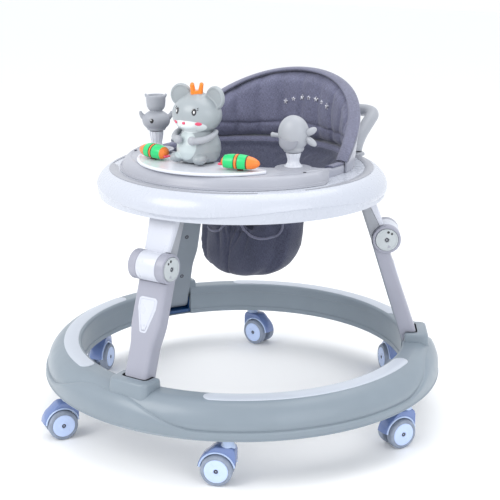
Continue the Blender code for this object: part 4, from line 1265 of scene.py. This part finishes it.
def kept_inside_shell(pad):
    """Flatten the cushion's back where it would press through the rigid shell."""
    low = TRAY_TOP + 0.0003
    for vertex in pad.data.vertices:
        spoke = Vector((vertex.co.x, vertex.co.y - BACK_CENTRE_Y))
        height = shell_height(math.atan2(spoke.y, spoke.x))
        share = min(max((vertex.co.z - low) / (BACK_FOOT + height - low), 0.0), 1.0)
        limit = SHELL_INNER - 0.0006 + BACK_FLARE * height * share
        if spoke.length > limit:
            vertex.co.xy = spoke * (limit / spoke.length) + Vector((0.0, BACK_CENTRE_Y))


def back_cushion():
    """Padded liner of the backrest: a crowned pad with a low seam and upright creases."""
    steps = 104
    loops = []
    for i in range(steps + 1):
        angle = math.radians(7.0 + 166.0 * i / steps)
        height = max(back_height(angle), 0.0125)
        flare = BACK_FLARE * height
        # The pad is thinner where it runs down to the tray at either end.
        hollow = CUSHION_INNER + 0.0060 * (1.0 - smooth(0.010, 0.060, height))
        low, top = 0.4490, BACK_FOOT + height
        soft = min(0.0070, (top - low) * 0.42)
        outer = CUSHION_OUTER
        section = [(hollow + soft, low), (outer - 0.003, low), (outer, low + soft * 0.4)]
        section += [(outer + flare * share, low + (top - low) * share) for share in (0.4, 0.7)]
        section += [(outer + flare, top - soft * 0.6), (outer + flare - soft * 0.5, top),
                    (hollow + flare + soft, top), (hollow + flare, top - soft)]
        section += [(hollow + flare * share, low + (top - low) * share) for share in (0.7, 0.4)]
        section += [(hollow, low + soft)]
        loops.append([back_point(radius, angle, z) for radius, z in section])
    pad = new_object("back_pad", loft(loops), [CUSHION_DENIM])
    remeshed(pad, 0.0045)
    inflate(pad, 4.0, 0.006)
    smoothed(pad, 4, 1)

    def depth(point, normal):
        spoke = Vector((point.x, point.y - BACK_CENTRE_Y))
        facing = -normal.xy.dot(spoke.normalized())
        if facing <= 0.0:
            return 0.0
        angle = math.degrees(math.atan2(spoke.y, spoke.x))
        rise = point.z - BACK_FOOT
        crease = fold_depth(angle, rise)
        line = SEAM_RISE + 0.004 * math.sin(math.radians(angle * 5.0))
        seam = bell(rise, line, 0.0022) + 0.5 * bell(rise, line, 0.007)
        ripple = 0.0006 * noise.noise(Vector((angle * 0.35, rise * 30.0, 0.0)))
        return facing * (-0.0044 * crease - 0.0032 * seam + ripple)

    pressed(pad, depth)
    smoothed(pad, 1, 0)
    kept_inside_shell(pad)
    finish_cloth(pad, lambda p: math.atan2(p.x, p.y - BACK_CENTRE_Y) * CUSHION_INNER, lambda p: p.z,
                 180.0, ["back_cushion"])
    back_binding()
    seat_liner()
    star_arc(pad)


def seat_liner():
    """Cloth band that runs from under the cushion over the seat rim and down into the seat."""
    loops = []
    steps = 110
    for i in range(steps + 1):
        angle = math.radians(-6.0 + 192.0 * i / steps)
        ripple = 0.0008 * noise.noise(Vector((math.degrees(angle) * 0.12, 0.0, 3.0)))
        section = [(0.1600, 0.4260), (0.1630, 0.4250), (0.1648, 0.4300), (0.1654, 0.4440), (0.1670, 0.4466),
                   (0.1770, 0.4468), (0.1774, 0.4490), (0.1690, 0.4500), (0.1630, 0.4485), (0.1610, 0.4440)]
        loops.append([back_point(radius + ripple, angle, z) for radius, z in section])
    band = new_object("seat_liner_band", loft(loops), [CUSHION_DENIM])
    finish_cloth(band, lambda p: math.atan2(p.x, p.y) * 0.165, lambda p: p.z, 60.0)


def back_binding():
    """Broad fabric edge laid over the top of the cushion and its shell."""
    path = []
    for i in range(121):
        angle = math.radians(6.6 + 166.8 * i / 120)
        height = max(back_height(angle), 0.0060)
        path.append(back_point(0.1712 + BACK_FLARE * height, angle, 0.4436 + height))
    roll = new_object("back_piping", tube(path, 0.0106, 24, flat=0.36), [BINDING])
    finish_cloth(roll, lambda p: math.atan2(p.x, p.y) * 0.18, lambda p: p.z + p.xy.length, 60.0)


STAR_ANGLE = 82.0
STAR_SPREAD = 17.0
STAR_HEIGHT = 0.5270


def star_outline(radius):
    """Five-pointed star with slightly blunt tips."""
    points = []
    for i in range(10):
        size = radius if i % 2 == 0 else radius * 0.45
        angle = math.pi / 2 + math.pi * i / 5
        points.append((size * math.cos(angle), size * math.sin(angle)))
    return rounded(points, 0.0003, 2)


def star_arc(pad):
    """An arc of small embroidered stars on the cushion."""
    skin = BVHTree.FromPolygons([vertex.co for vertex in pad.data.vertices],
                                [tuple(polygon.vertices) for polygon in pad.data.polygons])
    stars = Solid()
    count = 7
    for i in range(count):
        share = i / (count - 1) * 2 - 1
        angle = math.radians(STAR_ANGLE - STAR_SPREAD * share)
        z = STAR_HEIGHT - 0.010 * share * share
        start = Vector((0.0, BACK_CENTRE_Y, z))
        ray = Vector((math.cos(angle), math.sin(angle), 0.0))
        place, normal, _, _ = skin.ray_cast(start, ray)
        size = 0.0062 if i % 2 == 0 else 0.0046
        star = relief(star_outline(size), [(0.0, -0.0012), (0.0, 0.0003), (0.0004, 0.0008), (0.0012, 0.0011)])
        if normal.dot(ray) > 0:
            normal = -normal
        side = Vector((0, 0, 1)).cross(normal).normalized()
        over = normal.cross(side)
        turn = Matrix((side, over, normal)).transposed().to_4x4()
        stars.join(star.moved(Matrix.Translation(place) @ turn))
    thing = new_object("embroidered_stars", stars, [THREADS])
    weave_map(thing, lambda p: p.x, lambda p: p.z)
    shade(thing, 40.0)
    mount(thing, "tray", [])


# (scale of the rim, height, shift along Y) from the top of the bucket to its bottom.
POUCH_LEVELS = ((1.00, 0.4455, 0.0), (1.00, 0.4330, 0.0), (0.93, 0.4200, 0.0), (0.82, 0.4050, 0.0),
                (0.70, 0.3880, 0.002), (0.62, 0.3700, 0.004), (0.575, 0.3500, 0.005), (0.56, 0.3300, 0.006),
                (0.56, 0.3100, 0.004), (0.555, 0.2920, 0.001), (0.53, 0.2760, -0.005), (0.49, 0.2640, -0.010),
                (0.435, 0.2555, -0.015), (0.36, 0.2490, -0.020), (0.26, 0.2445, -0.024),
                (0.14, 0.2428, -0.027))
POUCH_EDGE = 0.0135                  # how far inside the seat rim the bucket hangs
POUCH_WALL = 0.0085
POUCH_FLOOR = 0.2500
LEG_HOLE = Vector((0.046, -0.012, 0.3480))
LEG_HOLE_TILT = 72.0
PIPING_RADIUS = 0.0350
FRONT_SEAM_X = -0.006
# Slanting pulls of the cloth as (lean, place) in degrees round the seat.
PULLS = ((260.0, -97.0), (420.0, -84.0), (-300.0, -112.0), (520.0, -70.0), (180.0, -58.0), (-240.0, -128.0))


def seat_pouch():
    """Fabric bucket that the child sits in, with bound leg holes, seams and folds."""
    rim = seat_outline(POUCH_EDGE, 60, 30)
    outer, inner = [], []
    for share, z, shift in POUCH_LEVELS:
        lining = seat_outline(POUCH_EDGE + min(POUCH_WALL / share, 0.0450), 60, 30)
        floor = max(z, POUCH_FLOOR + 0.0045 * (0.6 - share))
        for loops, outline, height in ((outer, rim, z), (inner, lining, floor)):
            loops.append([(x * share, SEAT_CENTRE.y + shift + (y - SEAT_CENTRE.y) * share, height)
                          for x, y in outline])
    pouch = new_object("seat_bucket", loft(list(reversed(outer)) + inner), [DENIM])
    for side in (-1, 1):
        hole = lathe([(0.0300, 0.0), (0.0340, 0.14)], 40).turned(LEG_HOLE_TILT, "X")
        carve(pouch, hole.shifted(side * LEG_HOLE.x, LEG_HOLE.y, LEG_HOLE.z))
    remeshed(pouch, 0.0040)
    inflate(pouch, 3.0, 0.004)
    smoothed(pouch, 3, 1)
    pressed(pouch, pouch_creases)
    finish_cloth(pouch, lambda p: math.atan2(p.x, SEAT_CENTRE.y - p.y) * 0.10, lambda p: p.z, 180.0,
                 ["seat_pouch"])
    skin = BVHTree.FromPolygons([vertex.co for vertex in pouch.data.vertices],
                                [tuple(polygon.vertices) for polygon in pouch.data.polygons])
    fold_with_tray(pouch)
    pouch_trim(skin)


def pouch_creases(point, normal):
    """Seams and folds of the bucket: upright seams in front, pleats at the top, pulls at the sides."""
    spoke = Vector((point.x, point.y - SEAT_CENTRE.y))
    facing = normal.xy.dot(spoke.normalized())
    angle = math.degrees(math.atan2(spoke.y, spoke.x))
    front = smooth(0.0, 0.02, -spoke.y)
    seam = 0.9 * bell(point.x, FRONT_SEAM_X, 0.0020) * front
    curve = 0.3180 + 0.24 * abs(point.x - FRONT_SEAM_X)
    seam += 0.7 * bell(point.z, curve, 0.0022) * front * smooth(0.008, 0.02, point.x - FRONT_SEAM_X)
    seam += 0.6 * bell(point.z, 0.3960, 0.0020)
    pleat = 0.0
    for place in range(-165, 180, 22):
        wander = 8.0 * noise.noise(Vector((place * 0.1, point.z * 25.0, 2.0)))
        pleat += bell(angle + wander, place, 2.6) * smooth(0.30, 0.40, point.z)
    for lean, place in PULLS:
        line = angle - place - lean * (point.z - 0.330)
        pleat += 0.8 * bell(line + 3.0 * noise.noise(Vector((place, point.z * 30.0, 9.0))), 0.0, 3.4) \
            * bell(point.z, 0.320, 0.035)
    wave = 0.0018 * noise.noise(Vector((angle * 0.045, point.z * 26.0, 7.0)))
    # Only the outer side is creased, and never through the wall.
    return max(facing, 0.0) * (wave - min(0.0032 * seam + 0.0040 * pleat, 0.0052))


def fold_with_tray(thing):
    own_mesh(thing)


def pouch_trim(skin):
    """Piping laid on the cloth round each leg hole."""
    turn = Matrix.Rotation(math.radians(LEG_HOLE_TILT), 3, "X")
    away = turn @ Vector((0, 0, 1))
    for side, name in ((-1, "left"), (1, "right")):
        centre = Vector((side * LEG_HOLE.x, LEG_HOLE.y, LEG_HOLE.z))
        path = []
        for i in range(64):
            angle = 2 * math.pi * i / 64
            spot = Vector((math.cos(angle), math.sin(angle), 0.0)) * PIPING_RADIUS
            place, _, _, _ = skin.ray_cast(centre + turn @ spot + away * 0.16, -away)
            if place is not None:
                path.append(place)
        roll = new_object(f"leg_hole_piping_{name}", tube(curve_through(path, 2, True), 0.0022, 10, True),
                          [BINDING])
        finish_cloth(roll, lambda p: p.x + p.y, lambda p: p.z, 60.0)
        fold_with_tray(roll)


# ---------------------------------------------------------------- toys
def toy_posts():
    """Waisted posts with upright ribs under the two spinning toys."""
    for place, name in ((POST_LEFT, "left"), (POST_RIGHT, "right")):
        low = PANEL_TOP + 0.0028
        top = place.z - 0.0010
        waist = [(0.0118, low + 0.0028), (0.0096, low + 0.0055), (0.0088, low + 0.0090),
                 (0.0090, low + 0.0120), (0.0102, low + 0.0160), (0.0117, top - 0.0008)]
        post = lathe([(0.0150, low), (0.0148, low + 0.0012)] + waist
                     + [(0.0117, top), (0.0030, top + 0.0002), (0.0030, top + 0.0120)], 48)
        for i in range(12):
            angle = 2 * math.pi * i / 12
            lean = Vector((math.cos(angle), math.sin(angle), 0.2))
            post.join(tube(on_spoke(waist, angle), 0.0007, 8, up=lean))
        post.shifted(place.x, place.y, 0.0)
        piece(f"post_{name}", post, [PLATE_WHITE], "tray", [f"toy_post_{name}"])


def spinner_right():
    """A round fish with a darker fin on each flank, a snout and a tail of two lobes."""
    body = ball((0.0262, 0.0215, 0.0290), (0.0, 0.0, 0.0300), 48, 32)
    body.join(lathe([(0.0120, 0.0), (0.0150, 0.0010), (0.0175, 0.0050), (0.0150, 0.0120)], 40))
    fish = new_object("fish_toy", body, [TOY_PALE, FIN_GREY, MARK_BLACK])
    fuse(fish, 0.0009, 8)
    extra = lathe([(0.0048, 0.0), (0.0038, 0.004), (0.0036, 0.014), (0.0041, 0.0155), (0.0045, 0.0175),
                   (0.0038, 0.0190)], 24).turned(-90, "Y").shifted(-0.0222, 0.0, 0.0240)
    for lift in (-1, 1):
        lobe = ball((0.0115, 0.0044, 0.0058), (0.0, 0.0, 0.0), 24, 16).turned(-30.0 * lift, "Y")
        extra.join(lobe.shifted(0.0320, 0.0, 0.0280 + 0.0080 * lift))
    for side in (-1, 1):
        fin = ball((0.0165, 0.0030, 0.0150), (0.0, 0.0, 0.0), 40, 20, 1)
        fin.turned(side * 20.0, "X").turned(-side * 8.0, "Z")
        extra.join(fin.shifted(0.0010, side * 0.0172, 0.0200))
        extra.join(ball((0.0014, 0.0010, 0.0012), (-0.0140, side * 0.0158, 0.0160), 16, 10, 2))
    join_into(fish, extra)
    placed(fish, Matrix.Translation(POST_RIGHT), 50.0, "spinner_right", ["spinner_right"])


def spinner_left():
    """A round sea animal with two upturned tips, an eye on each flank and a cup on top of it."""
    head = ball((0.0240, 0.0215, 0.0180), (0.0, 0.0, 0.0172), 48, 32)
    head.join(lathe([(0.0125, 0.0), (0.0160, 0.0012), (0.0165, 0.0080)], 40))
    head.join(lathe([(0.0090, 0.0300), (0.0100, 0.0340), (0.0136, 0.0372), (0.0158, 0.0420), (0.0166, 0.0500),
                     (0.0168, 0.0580), (0.0162, 0.0606), (0.0150, 0.0616), (0.0138, 0.0606), (0.0134, 0.0570),
                     (0.0040, 0.0560)], 48))
    for side in (-1, 1):
        tip = curve_through([(side * 0.0160, 0.0, 0.0200), (side * 0.0225, 0.0, 0.0235),
                             (side * 0.0262, 0.0, 0.0290), (side * 0.0268, 0.0, 0.0335)], 5)
        head.join(tube(tip, lambda share: 0.0064 - 0.0048 * share, 16, up=Vector((0, 1, 0))))
        corner = curve_through([(side * 0.0120, 0.0, 0.0560), (side * 0.0164, 0.0, 0.0600),
                                (side * 0.0178, 0.0, 0.0632)], 4)
        head.join(tube(corner, lambda share: 0.0034 - 0.0018 * share, 12, up=Vector((0, 1, 0))))
    toy = new_object("critter_toy", head, [TOY_GREY, MARK_BLACK, EYE_WHITE_AND_GLINT])
    fuse(toy, 0.0009, 5)
    extra = Solid()
    for side in (-1, 1):
        extra.join(ball((0.0034, 0.0012, 0.0040), (side * 0.0062, side * 0.0207, 0.0190), 24, 14, 1))
        # The small white dot set up on each eye is a painted highlight.
        extra.join(ball((0.0011, 0.0006, 0.0013), (side * 0.0074, side * 0.0217, 0.0205), 14, 8, 2))
    join_into(toy, extra)
    space = Matrix.Translation(POST_LEFT) @ Matrix.Rotation(math.radians(214.0), 4, "Z")
    placed(toy, space, 50.0, "spinner_left", ["spinner_left"])


def mouse_look():
    """Grey toy plastic with a pale bib and muzzle painted on."""
    look = plastic("mouse_grey", (0.33, 0.365, 0.385), 0.34, 0.06, 0.3, 0.02)
    nodes, links = look.node_tree.nodes, look.node_tree.links
    shader = nodes["Principled BSDF"]
    colour = shader.inputs["Base Color"].links[0].from_socket
    place = nodes.new("ShaderNodeTexCoord").outputs["Object"]
    marks = (((-0.004, -0.034, 0.0300), (0.0215, 0.0260, 0.0240), (0.53, 0.60, 0.61)),
             ((0.000, -0.038, 0.0600), (0.0385, 0.0300, 0.0110), (0.68, 0.73, 0.74)))
    for centre, radii, paint in marks:
        fit = nodes.new("ShaderNodeMapping")
        fit.vector_type = "TEXTURE"
        fit.inputs["Location"].default_value = MOUSE_PLACE + Vector(centre)
        fit.inputs["Scale"].default_value = radii
        links.new(place, fit.inputs["Vector"])
        size = nodes.new("ShaderNodeVectorMath")
        size.operation = "LENGTH"
        links.new(fit.outputs["Vector"], size.inputs[0])
        inside = spread(nodes, links, size.outputs["Value"], 1.0, 0.0, 0.97, 1.03)
        colour = mixed(nodes, links, inside, colour, paint)
    links.new(colour, shader.inputs["Base Color"])
    return look


HEAD_RADII = (0.0430, 0.0350, 0.0320)
HEAD_CENTRE = (0.0, -0.004, 0.0770)


def mouse():
    """A sitting toy mouse with a pear-shaped body, a wide head, dished ears and thin arms."""
    body = lathe([(0.0240, 0.0001), (0.0300, 0.0020), (0.0340, 0.0080), (0.0364, 0.0190), (0.0356, 0.0300),
                  (0.0320, 0.0400), (0.0270, 0.0500), (0.0220, 0.0580), (0.0150, 0.0640)], 64)
    body.join(ball(HEAD_RADII, HEAD_CENTRE, 64, 40))
    body.join(ball((0.0300, 0.0270, 0.0270), (0.0, -0.002, 0.0860), 48, 32))
    body.join(ball((0.0190, 0.0120, 0.0085), (0.0, -0.0290, 0.0640), 40, 24))
    for side in (-1, 1):
        ear = lathe([(0.0150, -0.0046), (0.0184, -0.0032), (0.0192, 0.0), (0.0182, 0.0036), (0.0162, 0.0046),
                     (0.0140, 0.0026), (0.0030, 0.0018)], 48).turned(90, "X").turned(-side * 10.0, "Z")
        body.join(ear.shifted(side * 0.0335, 0.0, 0.1050))
        foot = ball((0.0110, 0.0130, 0.0085), (side * 0.0225, -0.0290, 0.0088), 32, 18)
        body.join(foot)
    toy = new_object("mouse_toy", body, [mouse_look(), EYE_BLACK, EYE_WHITE_AND_GLINT, BLUSH, TOY_PALE])
    fuse(toy, 0.0010, 7)
    join_into(toy, mouse_arms())
    join_into(toy, mouse_face())
    placed(toy, Matrix.Translation(MOUSE_PLACE), 50.0, "tray", ["mouse"])


def mouse_arms():
    """Curved arms that meet in front of the belly, each with a round paw."""
    arms = Solid()
    for side in (-1, 1):
        path = curve_through([(side * 0.0310, 0.0040, 0.0500), (side * 0.0350, -0.0100, 0.0460),
                              (side * 0.0290, -0.0260, 0.0410), (side * 0.0170, -0.0370, 0.0390)], 6)
        arms.join(tube(path, lambda share: 0.0046 + 0.0012 * share, 20, tone=4))
        arms.join(ball((0.0078, 0.0064, 0.0072), (side * 0.0140, -0.0375, 0.0395), 28, 18, 4))
    return arms


def on_head(x, z):
    """How far forward the mouse's face is at a place across and up it."""
    share = 1.0 - (x / HEAD_RADII[0]) ** 2 - ((z - HEAD_CENTRE[2]) / HEAD_RADII[2]) ** 2
    return HEAD_CENTRE[1] - HEAD_RADII[1] * math.sqrt(max(share, 0.0))


def mouse_face():
    """Ringed eyes with two lashes, round cheeks and a nose, set just proud of the head."""
    face = Solid()
    for side in (-1, 1):
        x, z = side * 0.0165, 0.0850
        turn = side * 24.0
        y = on_head(x, z) + 0.0004
        for radii, lift, tone in (((0.0042, 0.0014, 0.0058), 0.0, 1),
                                  ((0.0016, 0.0010, 0.0026), 0.0008, 2)):
            eye = ball(radii, (0.0, -lift, 0.0), 28, 16, tone).turned(-10.0, "X").turned(turn, "Z")
            face.join(eye.shifted(x, y, z))
        for tilt, reach in ((24.0, 0.0052), (46.0, 0.0062)):
            spot_x = x + side * reach * math.cos(math.radians(tilt))
            spot_z = z + reach * math.sin(math.radians(tilt)) + 0.0014
            lash = ball((0.0018, 0.0007, 0.0006), (0.0, 0.0, 0.0), 14, 8, 1).turned(-side * tilt, "Y")
            face.join(lash.turned(turn, "Z").shifted(spot_x, on_head(spot_x, spot_z) - 0.0001, spot_z))
        x, z = side * 0.0225, 0.0665
        cheek = ball((0.0058, 0.0010, 0.0030), (0, 0, 0), 28, 14, 3).turned(14.0, "X")
        face.join(cheek.turned(side * 34.0, "Z").shifted(x, on_head(x, z) + 0.0001, z))
    face.join(ball((0.0030, 0.0020, 0.0022), (0.0, -0.0408, 0.0672), 24, 14, 3))
    return face


def crown():
    """Small crown with four broad rounded points and dips between them."""
    low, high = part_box("crown")
    body = lathe([(0.0086, 0.0), (0.0098, 0.0010), (0.0102, 0.0090), (0.0094, 0.0104), (0.0060, 0.0104)], 40)
    for i in range(4):
        angle = math.radians(-101.0 + 90.0 * i)
        lean = Vector((math.cos(angle), math.sin(angle), 0.0))
        path = [lean * 0.0078 + Vector((0, 0, 0.0050)), lean * 0.0088 + Vector((0, 0, 0.0110)),
                lean * 0.0106 + Vector((0, 0, high.z - low.z - 0.0032))]
        body.join(tube(path, lambda share: 0.0042 - 0.0010 * share, 16))
        body.join(ball((0.0034, 0.0034, 0.0034), path[-1], 18, 12))
    toy = new_object("crown_toy", body.shifted(MOUSE.x, MOUSE.y - 0.004, low.z), [ORANGE])
    fuse(toy, 0.0005, 5, 0.6)
    shade(toy, 60.0)
    mount(toy, "tray", ["crown"])


def carrot(side, name):
    """Squeaker button shaped as a wrapped carrot lying on the plate."""
    # (place along the carrot, radius, material) from the stem to the tip.
    rows = [(-0.0325, 0.0020, 0), (-0.0310, 0.0050, 0), (-0.0285, 0.0080, 0), (-0.0265, 0.0098, 0),
            (-0.0260, 0.0112, 1), (-0.0200, 0.0128, 1), (-0.0130, 0.0136, 1), (-0.0085, 0.0138, 1),
            (-0.0080, 0.0130, 2), (-0.0066, 0.0130, 2), (-0.0062, 0.0138, 0), (-0.0032, 0.0138, 0),
            (-0.0028, 0.0130, 2), (-0.0014, 0.0130, 2), (-0.0010, 0.0138, 1), (0.0060, 0.0136, 1),
            (0.0118, 0.0128, 1), (0.0122, 0.0120, 2), (0.0136, 0.0118, 2), (0.0140, 0.0116, 0),
            (0.0200, 0.0104, 0), (0.0260, 0.0080, 0), (0.0305, 0.0048, 0), (0.0325, 0.0020, 0)]
    node = f"carrot_{name}"
    low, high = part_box(node)
    centre = (low + high) / 2
    middle = high.z - 0.0132
    body = lathe([(radius, place) for place, radius, _ in rows], 40, tones=[tone for _, _, tone in rows])
    body.turned(90.0 * side, "Y").moved(Matrix.Diagonal((1, 1, 0.95, 1)))
    body.points = [Vector((point.x, point.y, max(point.z, -0.0085))) for point in body.points]
    body.turned(side * 12.0, "Z").shifted(centre.x, centre.y, middle)
    body.join(lathe([(0.0050, low.z), (0.0050, middle)], 20, 2).shifted(centre.x, centre.y, 0.0))
    for angle in (-32.0, 0.0, 32.0):
        leaf = ball((0.0060, 0.0024, 0.0020), (-0.0050, 0.0, 0.0), 16, 10, 3).turned(angle, "Z")
        leaf.shifted(-0.0270, 0.0, 0.0).moved(Matrix.Diagonal((side, 1, 1, 1)))
        leaf.turned(side * 12.0, "Z")
        body.join(leaf.shifted(centre.x, centre.y, middle - 0.0040))
    toy = new_object(f"carrot_toy_{name}", body, [CARROT_ORANGE, CARROT_GREEN, CARROT_BAND, BLUSH])
    shade(toy, 40.0)
    mount(toy, node, [node])


# ---------------------------------------------------------------- floor, light and camera
def stage():
    data = bpy.data.meshes.new("floor")
    size = 9.0
    corners = [(-size, -size, 0), (size, -size, 0), (size, size, 0), (-size, size, 0)]
    data.from_pydata(corners, [], [(0, 1, 2, 3)])
    floor = bpy.data.objects.new("floor", data)
    bpy.context.collection.objects.link(floor)
    look, _, _, _ = start_look("floor_white", (0.98, 0.98, 0.98), 0.7)
    data.materials.append(look)
    world = bpy.data.worlds.new("studio")
    world.use_nodes = True
    world.node_tree.nodes["Background"].inputs["Color"].default_value = (0.94, 0.965, 1.0, 1.0)
    world.node_tree.nodes["Background"].inputs["Strength"].default_value = 1.06
    bpy.context.scene.world = world


def area_light(name, place, target, size, power, colour=(1.0, 1.0, 1.0)):
    data = bpy.data.lights.new(name, "AREA")
    data.shape = "DISK"
    data.size = size
    data.energy = power
    data.color = colour
    lamp = bpy.data.objects.new(name, data)
    lamp.location = place
    lamp.rotation_euler = (Vector(target) - Vector(place)).to_track_quat("-Z", "Y").to_euler()
    bpy.context.collection.objects.link(lamp)


def lights():
    area_light("key", (-0.9, -1.9, 2.0), (0, 0, 0.3), 1.6, 26.0, (1.0, 0.99, 0.97))
    area_light("fill", (2.2, -0.9, 1.3), (0, 0, 0.3), 1.8, 11.0, (0.95, 0.97, 1.0))
    area_light("top", (0.2, 0.6, 2.4), (0, 0, 0.3), 2.0, 16.0)


def camera():
    data = bpy.data.cameras.new("camera")
    data.lens = 85.57
    data.sensor_width = 36.0
    view = bpy.data.objects.new("camera", data)
    view.location = (1.1097, -1.6546, 0.8360)
    view.rotation_euler = (math.radians(90.0 - 15.548), 0.0, math.radians(33.455))
    bpy.context.collection.objects.link(view)
    bpy.context.scene.camera = view
    bpy.context.scene.view_settings.view_transform = "Standard"


# ---------------------------------------------------------------- the whole walker
floor_ring()
ring_inlays()
under_cover()
legs()
casters()
tray_shell()
tray_strips()
seat_rim()
toy_panel()
toy_plate()
backrest_shell()
push_handle()
back_cushion()
seat_pouch()
toy_posts()
spinner_left()
spinner_right()
mouse()
crown()
carrot(-1, "left")
carrot(1, "right")
stage()
lights()
camera()
